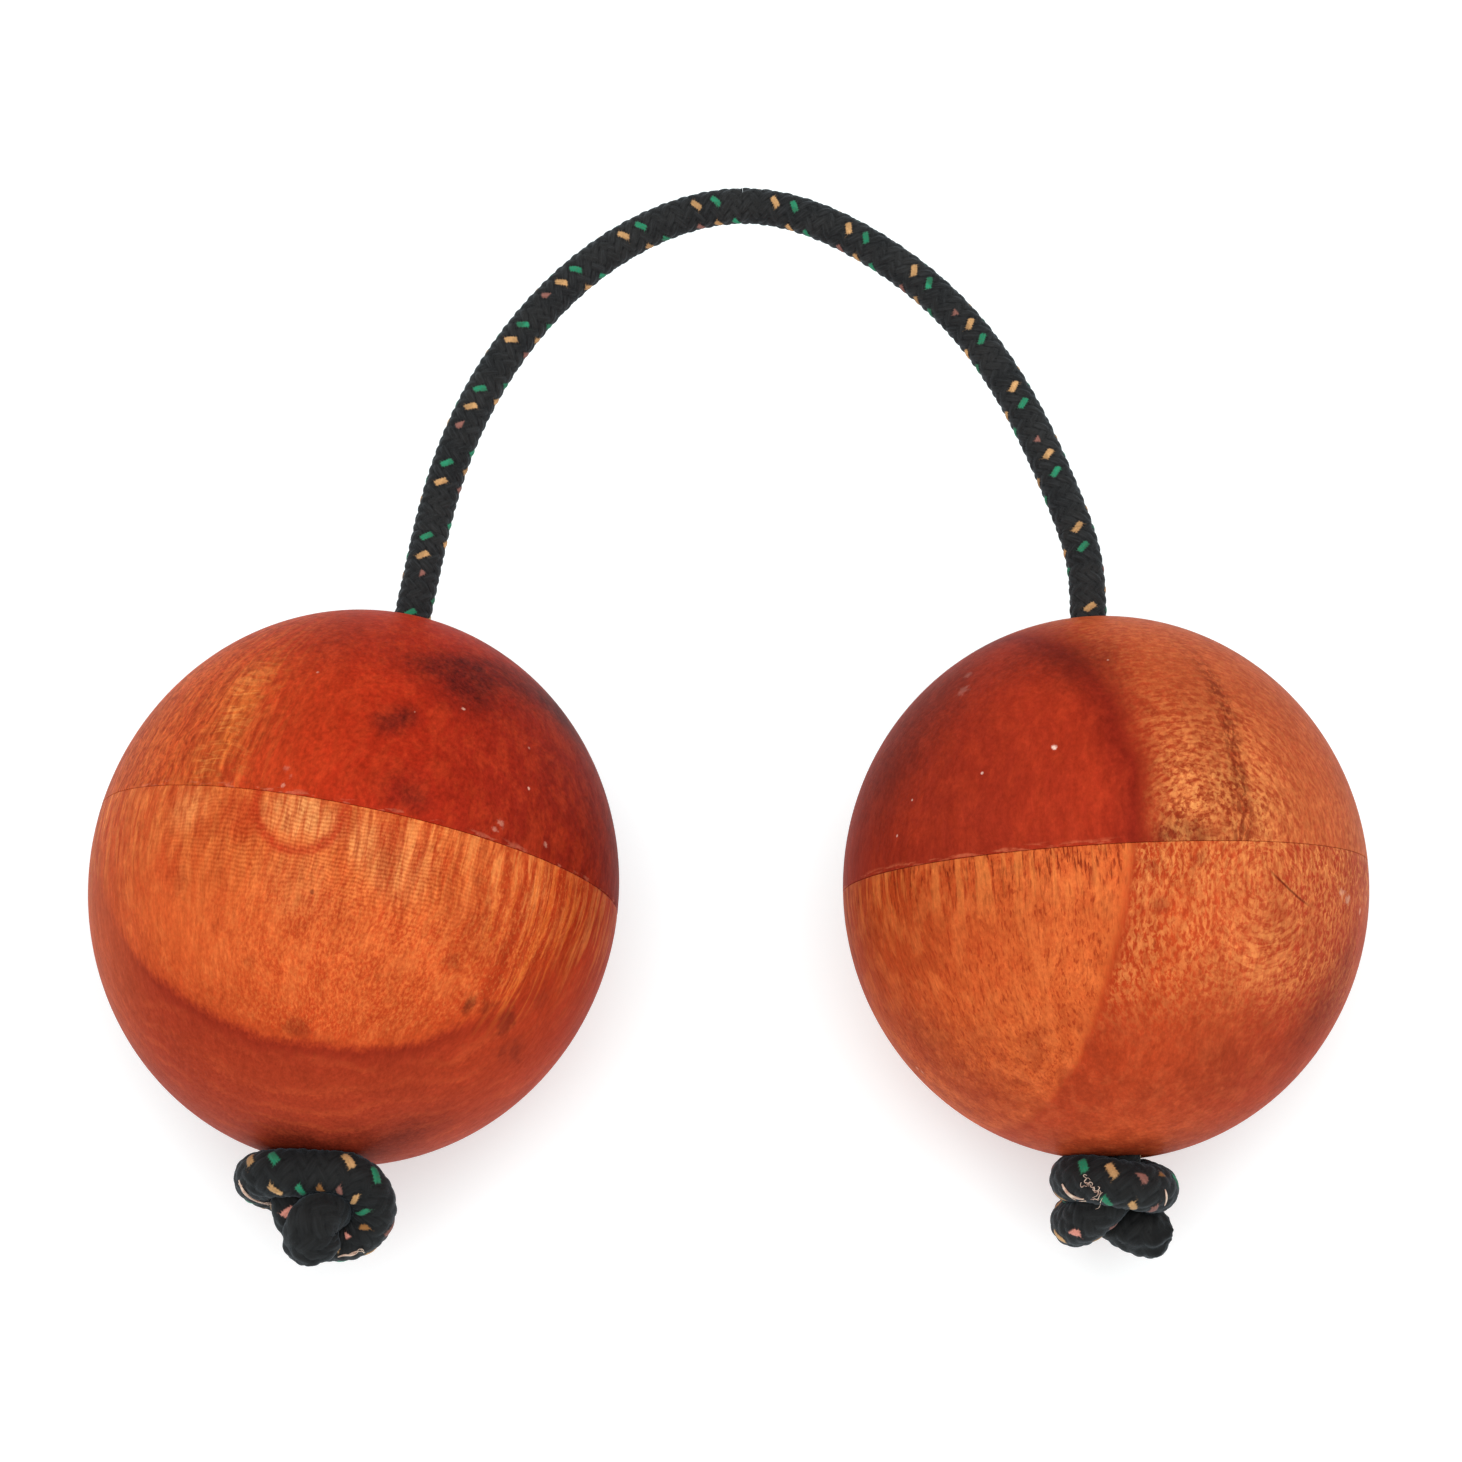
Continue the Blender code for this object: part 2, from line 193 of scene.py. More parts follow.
def overhand(pitch, tail_deg):
    """Centreline of an overhand knot, drawn up tight and then pulled down on a ball."""
    n, share = 104, 0.27
    t = np.linspace(-2.12, 2.12, 900)
    q = np.stack([t**3 - 3 * t, t**4 - 4 * t**2, 0.35 * (t**5 - 10 * t)], 1)
    run = np.concatenate([[0.0], np.cumsum(np.linalg.norm(np.diff(q, axis=0), axis=1))])
    at = np.linspace(0, run[-1], n)
    step = share * pitch
    q = np.stack([np.interp(at, run, q[:, k]) for k in range(3)], 1) * (step * (n - 1) / run[-1])
    i, j = np.triu_indices(n, math.ceil(1.7 / share))
    side = math.radians(tail_deg)
    pull = np.array([math.cos(side), math.sin(side), 0.2])
    pull /= np.linalg.norm(pull)
    clear = SEAT_R + pitch / 2 + 0.2

    def settle(bend, ball=None, neck=0):
        q[1:-1] += bend * ((q[:-2] + q[2:]) / 2 - q[1:-1])
        v = q[j] - q[i]
        w = np.linalg.norm(v, axis=1)
        hit = w < pitch
        push = ((pitch - w[hit]) / w[hit] * 0.5)[:, None] * v[hit]
        move, weight = np.zeros_like(q), np.ones(n)
        np.add.at(move, i[hit], -push)
        np.add.at(move, j[hit], push)
        np.add.at(weight, i[hit], 0.6)
        np.add.at(weight, j[hit], 0.6)
        q[:] += move / weight[:, None]
        if ball is not None:
            middle = np.array([0.0, 0.0, ball - SEAT_R])
            out = q - middle
            apart = np.linalg.norm(out, axis=1)
            turns = np.arange(n) >= neck
            inside = apart < clear
            q[inside & turns] = middle + out[inside & turns] * (clear / apart[inside & turns])[:, None]
            q[inside & ~turns, :2] *= 0.8
        for first in (0, 1):
            k = np.arange(first, n - 1, 2)
            v = q[k + 1] - q[k]
            w = np.linalg.norm(v, axis=1)
            even = ((w - step) / w * 0.5)[:, None] * v
            q[k] += even
            q[k + 1] -= even

    def touching():
        apart = np.linalg.norm(q[:, None] - q[None], axis=2)
        far = np.abs(np.subtract.outer(np.arange(n), np.arange(n))) >= 7
        return np.where(((apart < 1.12 * pitch) & far).any(1))[0]

    def stretch(end):
        return np.linalg.norm(np.diff(q[:end], axis=0), axis=1).mean() / step - 1

    for turn in range(900):
        go = 0.03 * pitch * (turn > 40)
        q[0] += (-0.05 * q[0, 0], -0.05 * q[0, 1], -go)
        q[-1] += go * pull
        for _ in range(8):
            settle(0.22)
        if turn > 100 and stretch(n) > 0.008:
            break
    for _ in range(20):
        q[0, 2] += 0.015 * pitch
        q[-1] -= 0.015 * pitch * pull
        for _ in range(8):
            settle(0.5)
    first = touching()[0]
    neck = first + 4
    q[:, :2] -= q[first - 1, :2]
    ball = q[neck:, 2].min() - pitch / 2 - 2.0
    for _ in range(200):
        ball += 0.03 * pitch
        q[0, :2] *= 0.9
        hold = q[0].copy()
        for _ in range(8):
            settle(0.2, ball, neck)
            q[0] = hold
        if stretch(first + 6) > 0.015:
            break
    for _ in range(40):
        hold = q[0].copy()
        settle(0.05, ball, neck)
        q[0] = hold
    touch = touching()
    q[:, 2] -= ball
    return q[: touch[-1] + 3], touch[0] + 4


def knot_line(name):
    """The knot's cord outside its ball, from the hole to the cut end."""
    b = BALLS[name]
    line, neck = overhand(STRAND_PITCH, KNOTS[name]["tail"])
    out = Vector(-b["axis"])
    across = Vector((0, 0, 1)).cross(out).normalized()
    turn = Matrix((across, out.cross(across), out)).transposed().to_4x4()
    turn = turn @ Matrix.Rotation(math.radians(KNOTS[name]["turn"]), 4, "Z")
    turn = Matrix.Rotation(math.radians(KNOTS[name]["lean"]), 4, "Z") @ turn
    turn = np.array(turn)[:3, :3]
    end = b["centre"] - b["axis"] * b["rp"]
    line = end + (line * (1, 1, SQUASH)) @ turn.T
    room = KNOT_D / 2 + GAP

    def off_ball(slide):
        q = line[neck:] - b["axis"] * slide - b["centre"]
        t = q @ b["axis"]
        r = np.linalg.norm(q - t[:, None] * b["axis"], axis=1)
        return np.hypot(t / (b["rp"] + room), r / (b["re"] + room)).min()

    low, high = -8.0, 8.0
    for _ in range(40):
        middle = (low + high) / 2
        low, high = (low, middle) if off_ball(middle) > 1 else (middle, high)
    line = line - b["axis"] * high
    start = b["centre"] - b["axis"] * (b["rp"] - 0.3)
    beyond = ((line - start) @ -b["axis"] > 2.0) | (np.arange(len(line)) >= neck)
    return np.vstack([start, start - b["axis"] * 0.8, line[beyond]])


def through(name):
    """Points of the cord from just inside the knot's hole, along the axis, out to the bending point."""
    b = BALLS[name]
    at = np.linspace(-b["rp"] + 3, b["rp"], 14)
    return np.vstack([b["centre"] + b["axis"] * t for t in at] + [b["near"], b["far"]])


def in_picture(px, py, depth):
    """The point under a pixel of the picture at a distance along the line of sight."""
    ray = np.array([(px - FRAME_PX / 2) / FOCAL_PX, 0, 0]) - UPWARDS * (py - FRAME_PX / 2) / FOCAL_PX - TOWARDS
    return EYE + ray * depth


# the cut ends lie over, as each tail was bent down when its knot was pulled tight:
# the knot's last point that is kept, then pixel, pixel and distance
TAILS = {
    "left": (42, [(330, 1207, 632.9), (324, 1211, 631.7), (317, 1217, 630.9), (312, 1225, 630.7), (311, 1234, 631.1), (314, 1244, 632.0)]),
    "right": (41, [(1104, 1200, 644.6), (1110, 1210, 644.8), (1118, 1219, 644.4), (1129, 1226, 643.6), (1142, 1230, 642.8), (1155, 1231, 642.4)]),
}
knots = {name: knot_line(name) for name in BALLS}
for name, (last, tail) in TAILS.items():
    knots[name] = np.vstack([knots[name][: last + 1], [in_picture(*at) for at in tail]])
left = np.vstack([knots["left"][::-1], through("left")])
right = np.vstack([knots["right"][::-1], through("right")])
control = np.vstack([left, ARCH_ROUTE, right[::-1]])
dense = spline(control)
run = np.concatenate([[0.0], np.cumsum(np.linalg.norm(np.diff(dense, axis=0), axis=1))])
apex = run[np.argmax(dense[:, 1])]


def line_at(s):
    """Points of the cord's line at distances from the top of its arch."""
    return np.stack([np.interp(np.asarray(s) + apex, run, dense[:, k]) for k in range(3)], 1)


def nearest_s(point):
    return run[np.argmin(np.linalg.norm(dense - point, axis=1))] - apex


# ---------------------------------------------------------------------------
# Shader building
# ---------------------------------------------------------------------------
def srgb(r, g, b):
    """Linear colour of 8-bit screen values."""
    return tuple(((c / 255 + 0.055) / 1.055) ** 2.4 if c > 10 else c / 3294.6 for c in (r, g, b))


class Shade:
    """A material with short calls for its nodes."""

    def __init__(self, name):
        self.mat = bpy.data.materials.new(name)
        self.mat.use_nodes = True
        self.tree = self.mat.node_tree
        self.bsdf = self.tree.nodes["Principled BSDF"]
        self.coord = self.tree.nodes.new("ShaderNodeTexCoord").outputs["Object"]

    def put(self, socket, value):
        if isinstance(value, bpy.types.NodeSocket):
            self.tree.links.new(value, socket)
        elif socket.type == "RGBA" and len(value) == 3:
            socket.default_value = (*value, 1.0)
        else:
            socket.default_value = value

    def node(self, kind, inputs=(), **props):
        n = self.tree.nodes.new(kind)
        for k, v in props.items():
            setattr(n, k, v)
        for k, v in dict(inputs).items():
            self.put(n.inputs[k], v)
        return n

    def math(self, op, a, b=0.0, c=None, clamp=False):
        inputs = {0: a, 1: b}
        if c is not None:
            inputs[2] = c
        return self.node("ShaderNodeMath", inputs, operation=op, use_clamp=clamp).outputs[0]

    def vec(self, op, a, b=(0, 0, 0), scale=None):
        inputs = {0: a, 1: b}
        if scale is not None:
            inputs["Scale"] = scale
        n = self.node("ShaderNodeVectorMath", inputs, operation=op)
        return n.outputs["Value"] if op in {"DOT_PRODUCT", "DISTANCE", "LENGTH"} else n.outputs["Vector"]

    def split(self, v):
        return self.node("ShaderNodeSeparateXYZ", {0: v}).outputs

    def join(self, x, y, z):
        return self.node("ShaderNodeCombineXYZ", {0: x, 1: y, 2: z}).outputs[0]

    def noise(self, v, scale, detail=3.0, rough=0.5, distort=0.0):
        return self.node(
            "ShaderNodeTexNoise",
            {"Vector": v, "Scale": scale, "Detail": detail, "Roughness": rough, "Distortion": distort},
        ).outputs["Fac"]

    def cells(self, v, scale, feature="F1"):
        return self.node("ShaderNodeTexVoronoi", {"Vector": v, "Scale": scale}, feature=feature).outputs["Distance"]

    def span(self, v, a, b, lo=0.0, hi=1.0, smooth=True):
        """v mapped from a..b to lo..hi, with soft ends."""
        return self.node(
            "ShaderNodeMapRange",
            {"Value": v, "From Min": a, "From Max": b, "To Min": lo, "To Max": hi},
            interpolation_type="SMOOTHSTEP" if smooth else "LINEAR",
        ).outputs["Result"]

    def mix(self, fac, a, b, how="MIX"):
        n = self.node("ShaderNodeMix", data_type="RGBA", blend_type=how)
        self.put(n.inputs["Factor"], fac)
        self.put(n.inputs[6], a)
        self.put(n.inputs[7], b)
        return n.outputs[2]

    def ramp(self, fac, stops, how="EASE"):
        n = self.node("ShaderNodeValToRGB", {"Fac": fac})
        n.color_ramp.interpolation = how
        e = n.color_ramp.elements
        while len(e) < len(stops):
            e.new(0.5)
        for el, (at, colour) in zip(e, stops):
            el.position = at
            el.color = (*colour, 1.0)
        return n.outputs["Color"]

    def attribute(self, name):
        return self.node("ShaderNodeAttribute", attribute_name=name).outputs

    def bump(self, height, strength, distance, normal=None):
        inputs = {"Height": height, "Strength": strength, "Distance": distance}
        if normal is not None:
            inputs["Normal"] = normal
        return self.node("ShaderNodeBump", inputs).outputs["Normal"]

    def out(self, **inputs):
        for k, v in inputs.items():
            self.put(self.bsdf.inputs[k.replace("_", " ")], v)
        return self.mat


# ---------------------------------------------------------------------------
# Cord: a sixteen-strand braid, two over and two under, drawn as one sleeve
# ---------------------------------------------------------------------------
LAY = 9.3               # the braid's pitch
CARRIERS = 8            # strands each way
SIDES = 60
SEED = 4


def braid(s, angle):
    """Height of the braid's surface (0 to 1), and its strand's own number and float."""
    s, angle = s - 0.9, angle - math.radians(7)
    a = CARRIERS * (s / LAY + angle / (2 * math.pi)) + 0.1
    b = CARRIERS * (s / LAY - angle / (2 * math.pi)) + 0.35
    i, j = np.floor(a).astype(int), np.floor(b).astype(int)
    fa, fb = a - i, b - j
    m = (i + j) % 4
    over = m < 2
    across = np.where(over, fa, fb)
    along = np.where(over, (m + fb) / 2, (m - 2 + fa) / 2)
    dome = np.clip(1 - (2 * across - 1) ** 2, 0, 1) ** 0.55
    arch = np.clip(np.sin(math.pi * along), 0, 1) ** 0.6
    height = dome * (0.3 + 0.7 * arch)
    strand = np.where(over, i % CARRIERS, 100 + j % CARRIERS)
    # each float has a number of its own
    pick = np.where(over, i * 7919 + (i + j) // 4 * 104729, j * 15485863 + (i + j) // 4 * 32452843)
    luck = (np.abs(np.sin(pick * 12.9898 + SEED) * 43758.5453)) % 1.0
    edge = np.minimum(dome, arch)
    return height, strand, luck, edge, across, along


def flecks(strand, luck, in_knot, to_end):
    """Colour and cover of the braid's coloured floats: the tails have none."""
    n = strand.shape
    colour = np.zeros(n + (4,), np.float32)
    tan, green = srgb(196, 150, 98), srgb(14, 126, 90)
    pink, red, brown = srgb(205, 132, 116), srgb(150, 28, 44), srgb(140, 92, 44)

    def lay(where, tone, cover):
        shade = (0.72 + 0.5 * luck[where])[:, None]
        colour[where, :3] = np.array(tone) * shade
        colour[where, 3] = cover * np.clip((to_end[where] - 9.0) / 2.0, 0, 1)

    lay((strand == 2), tan, 1.0)
    lay((strand == 4), green, 1.0)
    faint = (strand == 0) & (luck > 0.8 - 0.3 * in_knot)
    lay(faint, pink, 0.35)
    lay((strand == 0) & (luck > 0.82) & (in_knot > 0.5), pink, 0.95)
    lay((strand == 104) & (luck > 0.8) & (in_knot > 0.5), red, 0.7)
    lay((strand == 6) & (luck > 0.86 - 0.2 * in_knot) & (in_knot > 0.5), brown, 0.85)
    return colour


ends = {name: (nearest_s(knots[name][-1]), nearest_s(knots[name][0])) for name in BALLS}
S_LEFT, S_RIGHT = -apex, run[-1] - apex
inside_ball = {}
for name, b in BALLS.items():
    a1 = nearest_s(b["centre"] - b["axis"] * (b["rp"] - 2.5))
    a2 = nearest_s(b["centre"] + b["axis"] * (b["rp"] - 2.5))
    inside_ball[name] = (min(a1, a2), max(a1, a2))


def ring_places(s0, s1):
    """Distances of the sleeve's rings: fine where it is seen, wide inside a ball."""
    at = [s0]
    while at[-1] < s1:
        hidden = any(lo < at[-1] < hi for lo, hi in inside_ball.values())
        at.append(at[-1] + (0.9 if hidden else 0.2))
    at[-1] = s1
    if at[-1] - at[-2] < 0.05:
        at.pop(-2)
    return np.array(at)


# frames that don't twist, carried both ways from the top of the arch, where "up" is up
def carried(s, start_up):
    c = line_at(s)
    t = np.gradient(c, axis=0)
    t /= np.linalg.norm(t, axis=1)[:, None]
    up = np.zeros_like(c)
    u = start_up - t[0] * (start_up @ t[0])
    up[0] = u / np.linalg.norm(u)
    for k in range(1, len(s)):
        v = c[k] - c[k - 1]
        w = v @ v
        r = up[k - 1] - v * (2 / w) * (v @ up[k - 1])
        tt = t[k - 1] - v * (2 / w) * (v @ t[k - 1])
        v2 = t[k] - tt
        w2 = v2 @ v2
        r = r - v2 * (2 / w2) * (v2 @ r) if w2 > 1e-18 else r
        r -= t[k] * (r @ t[k])
        up[k] = r / np.linalg.norm(r)
    return c, t, up


fine_right = np.arange(0, S_RIGHT + 0.05, 0.1)
fine_left = np.arange(0, -S_LEFT + 0.05, 0.1)
_, _, up_right = carried(fine_right, np.array([0.0, 0.0, 1.0]))
_, _, up_left = carried(-fine_left, np.array([0.0, 0.0, 1.0]))
all_s = np.concatenate([-fine_left[:0:-1], fine_right])
all_up = np.vstack([up_left[:0:-1], up_right])


def cord_radius(s):
    """Half the cord's width: a knot's turns are pressed wider."""
    knot = in_knot(s)
    return CORD_D / 2 + 0.62 * knot


def in_knot(s):
    lo, hi = ends["left"][1], ends["right"][1]
    a = np.clip((lo - 1.5 - s) / 3.0, 0, 1)
    b = np.clip((s - hi - 1.5) / 3.0, 0, 1)
    k = np.maximum(a, b)
    return k * k * (3 - 2 * k)


def pressed(s, c, point):
    """Turns of a knot flattened where they press on each other and on the ball."""
    knot = in_knot(s)
    for name, b in BALLS.items():
        lo, hi = (S_LEFT, ends[name][1]) if name == "left" else (ends[name][1], S_RIGHT)
        rows = np.where((knot > 0) & (s >= lo) & (s <= hi))[0]
        if not len(rows):
            continue
        around = np.arange(lo, hi, 0.4)
        others = line_at(around)
        for r in rows:
            far = others[np.abs(around - s[r]) > 6.0]
            w = point[r] - c[r]
            width = np.linalg.norm(w, axis=1)
            share = np.ones(len(w))
            for _ in range(14):
                v = c[r] + share[:, None] * w
                gap = np.sqrt(((v[:, None] - far[None]) ** 2).sum(2)).min(1)
                q = v - b["centre"]
                t = q @ b["axis"]
                off = np.linalg.norm(q - t[:, None] * b["axis"], axis=1)
                bad = (gap < share * width + 0.03) | (np.hypot(t / b["rp"], off / b["re"]) < 1.001)
                if not bad.any():
                    break
                share[bad] = np.maximum(share[bad] - 0.045, 0.4)
            point[r] = c[r] + share[:, None] * w
    return point


def sleeve(name, s0, s1):
    """A length of the braided cord as a closed mesh, with its floats' colours."""
    s = ring_places(s0, s1)
    c = line_at(s)
    t = np.gradient(line_at(s), axis=0)
    t /= np.linalg.norm(t, axis=1)[:, None]
    up = np.stack([np.interp(s, all_s, all_up[:, k]) for k in range(3)], 1)
    up -= t * np.sum(up * t, axis=1)[:, None]
    up /= np.linalg.norm(up, axis=1)[:, None]
    side = np.cross(up, t)
    theta = np.arange(SIDES) * 2 * math.pi / SIDES
    ss, th = np.meshgrid(s, theta, indexing="ij")
    height, strand, luck, edge, across, along = braid(ss, th)
    k = in_knot(ss)
    radius = cord_radius(ss) - 0.2 + 0.26 * height
    # the two cut ends swell where they were melted, then close
    for end, sign in ((S_LEFT, 1), (S_RIGHT, -1)):
        d = np.clip(sign * (ss - end), 0, 99)
        near = np.exp(-((d / 2.8) ** 2))
        radius *= 1 + near * (0.12 + 0.06 * np.sin(2 * th + 0.7) + 0.05 * np.sin(5 * th + 2.0) + 0.03 * np.sin(9 * th))
    point = (
        c[:, None, :]
        + radius[..., None] * (np.cos(th)[..., None] * up[:, None, :] + np.sin(th)[..., None] * side[:, None, :])
    )
    point = pressed(s, c, point)
    verts = point.reshape(-1, 3)
    n = len(s)
    faces = []
    for r in range(n - 1):
        o = r * SIDES
        for q in range(SIDES):
            q2 = (q + 1) % SIDES
            faces.append((o + q, o + SIDES + q, o + SIDES + q2, o + q2))
    colour = flecks(strand, luck, k, np.minimum(ss - S_LEFT, S_RIGHT - ss)).reshape(-1, 4)
    extra, tint = [], []
    for which, ring in ((0, 0), (1, n - 1)):
        base = ring * SIDES
        at_cut = abs(s[ring] - (S_LEFT if which == 0 else S_RIGHT)) < 0.01
        outward = (-t[0] if which == 0 else t[-1])
        last = np.arange(base, base + SIDES)
        if at_cut:
            # a melted, uneven face
            for step in range(1, 12):
                bow = math.radians(90 * step / 12)
                share, push = math.cos(bow) ** 0.9, 1.7 * math.sin(bow)
                start = len(verts) + len(extra)
                for q in range(SIDES):
                    p = c[ring] + (verts[base + q] - c[ring]) * share
                    rough = noise.noise(Vector(p) * 0.55) * 0.8 + noise.noise(Vector(p) * 1.7) * 0.4
                    extra.append(p + outward * (push + rough * min(1.0, 1.6 * (1 - share) + 0.25)))
                    tint.append((0, 0, 0, 0))
                here = np.arange(start, start + SIDES)
                for q in range(SIDES):
                    q2 = (q + 1) % SIDES
                    f = (last[q], last[q2], here[q2], here[q])
                    faces.append(f if which == 0 else f[::-1])
                last = here
            centre = c[ring] + outward * 1.7
        else:
            centre = c[ring]
        tip = len(verts) + len(extra)
        extra.append(centre)
        tint.append((0, 0, 0, 0))
        for q in range(SIDES):
            f = (last[q], last[(q + 1) % SIDES], tip)
            faces.append(f if which == 0 else f[::-1])
    verts = np.vstack([verts, extra]) if extra else verts
    colour = np.vstack([colour, tint]).astype(np.float32)
    mesh = bpy.data.meshes.new(name)
    mesh.from_pydata((verts * MM).tolist(), [], [tuple(int(x) for x in f) for f in faces])
    layer = mesh.color_attributes.new("float_colour", "FLOAT_COLOR", "POINT")
    layer.data.foreach_set("color", colour.ravel())
    deep = mesh.attributes.new("braid_height", "FLOAT", "POINT")
    deep.data.foreach_set(
        "value", np.concatenate([height.reshape(-1), np.full(len(verts) - height.size, 0.22)]).astype(np.float32)
    )
    more = len(verts) - height.size
    for label, value in (("float_edge", edge), ("float_knot", k)):
        layer = mesh.attributes.new(label, "FLOAT", "POINT")
        layer.data.foreach_set("value", np.concatenate([value.reshape(-1), np.full(more, value.max())]).astype(np.float32))
    place = np.stack([across, along, luck * 37 + strand * 1.7], -1).reshape(-1, 3)
    layer = mesh.attributes.new("float_place", "FLOAT_VECTOR", "POINT")
    layer.data.foreach_set("vector", np.vstack([place, np.zeros((more, 3))]).astype(np.float32).ravel())
    mesh.shade_smooth()
    mesh.update()
    obj = bpy.data.objects.new(name, mesh)
    scene.collection.objects.link(obj)
    obj.data.materials.append(cord_mat)
    return obj, c


def cord_material():
    m = Shade("braided_cord")
    fleck = m.attribute("float_colour")
    deep = m.attribute("braid_height")["Fac"]
    fibre = m.noise(m.vec("SCALE", m.coord, scale=1.0), 5200.0, 4.0, 0.6)
    cloud = m.noise(m.coord, 260.0, 3.0)
    # yarns that lie side by side along each float
    place = m.attribute("float_place")["Vector"]
    yarn = m.noise(m.vec("MULTIPLY", place, (6.0, 0.9, 1.0)), 1.0, 3.0, 0.6)
    black = m.mix(m.span(cloud, 0.3, 0.7), srgb(17, 19, 20), srgb(32, 32, 31))
    black = m.mix(m.span(yarn, 0.4, 0.7, 0.0, 0.5), black, srgb(52, 54, 56))
    black = m.mix(m.span(fibre, 0.45, 0.75, 0.0, 0.3), black, srgb(62, 64, 66))
    # painted shade: the valleys between the strands are drawn near black
    black = m.mix(m.span(deep, 0.0, 0.6), srgb(6, 7, 8), black)
    # painted shade: the same cord is drawn darker in the knots than along the arch
    black = m.mix(m.math("MULTIPLY", m.attribute("float_knot")["Fac"], 0.54), black, srgb(10, 11, 11))
    tone = m.mix(m.span(fibre, 0.3, 0.7, 0.0, 0.3), fleck["Color"], srgb(90, 72, 50))
    tone = m.mix(m.span(yarn, 0.4, 0.66, 0.0, 0.45), tone, m.mix(1.0, tone, (1.5, 1.6, 1.7), "MULTIPLY"))
    ragged = m.math("ADD", m.attribute("float_edge")["Fac"], m.math("MULTIPLY", m.math("SUBTRACT", yarn, 0.5), 0.5))
    ragged = m.math("ADD", ragged, m.math("MULTIPLY", m.math("SUBTRACT", fibre, 0.5), 0.4))
    cover = m.math("MULTIPLY", fleck["Alpha"], m.span(ragged, 0.44, 0.74))
    colour = m.mix(cover, black, tone)
    lumps = m.bump(fibre, 0.5, 0.00012)
    return m.out(
        Base_Color=colour,
        Roughness=m.span(fibre, 0.2, 0.8, 0.62, 0.88, smooth=False),
        Normal=lumps,
        Sheen_Weight=0.12,
        Sheen_Roughness=0.42,
        Sheen_Tint=(0.55, 0.68, 0.8, 1.0),
        Specular_IOR_Level=0.2,
    )


cord_mat = cord_material()

middle = {name: (b["near"] + b["far"]) / 2 for name, b in BALLS.items()}
s_mid = {name: nearest_s(middle[name]) for name in BALLS}
pieces = {
    "cord_arch_left": (s_mid["left"], 0.0),
    "cord_arch_right": (0.0, s_mid["right"]),
    "cord_end_left": (S_LEFT, s_mid["left"]),
    "cord_end_right": (s_mid["right"], S_RIGHT),
}
made = {name: sleeve(name, *span) for name, span in pieces.items()}


for name, b in BALLS.items():
    arch, path = made[f"cord_arch_{name}"]
    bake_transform(arch)
    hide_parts("cord_arch")
    end, path_end = made[f"cord_end_{name}"]
    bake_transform(end)
    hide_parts(f"{name}_cord_neck", f"{name}_cord_leg", f"{name}_knot")


# loose yarn and fibres on the knots: pixels they pass, thickness in millimetres, how many
FRAYS = {
    "left": [
        ([(239, 1180), (243, 1190), (250, 1197), (258, 1201), (267, 1203)], 0.3, 1, 0.0),
        ([(240, 1184), (246, 1194), (254, 1200), (263, 1203), (270, 1204)], 0.1, 4, 2.0),
        ([(338, 1257), (345, 1255), (352, 1255), (358, 1252)], 0.2, 1, 0.0),
        ([(346, 1255), (354, 1253), (361, 1250), (366, 1252)], 0.09, 3, 2.0),
    ],
    "right": [
        ([(1062, 1184), (1067, 1192), (1074, 1197), (1083, 1199)], 0.32, 1, 0.0),
        ([(1064, 1186), (1069, 1194), (1076, 1198), (1085, 1200)], 0.1, 4, 2.5),
        ([(1089, 1182), (1094, 1187), (1098, 1192), (1104, 1197)], 0.075, 11, 5.5),
        ([(1164, 1190), (1167, 1197), (1164, 1205)], 0.18, 2, 1.5),
    ],
}


def fray_material():
    m = Shade("frayed_yarn")
    tone = m.noise(m.coord, 900.0, 3.0, 0.6)
    colour = m.mix(m.span(tone, 0.3, 0.7), srgb(176, 132, 112), srgb(232, 208, 186))
    return m.out(Base_Color=colour, Roughness=m.span(tone, 0.2, 0.8, 0.6, 0.85, smooth=False), Sheen_Weight=0.3)


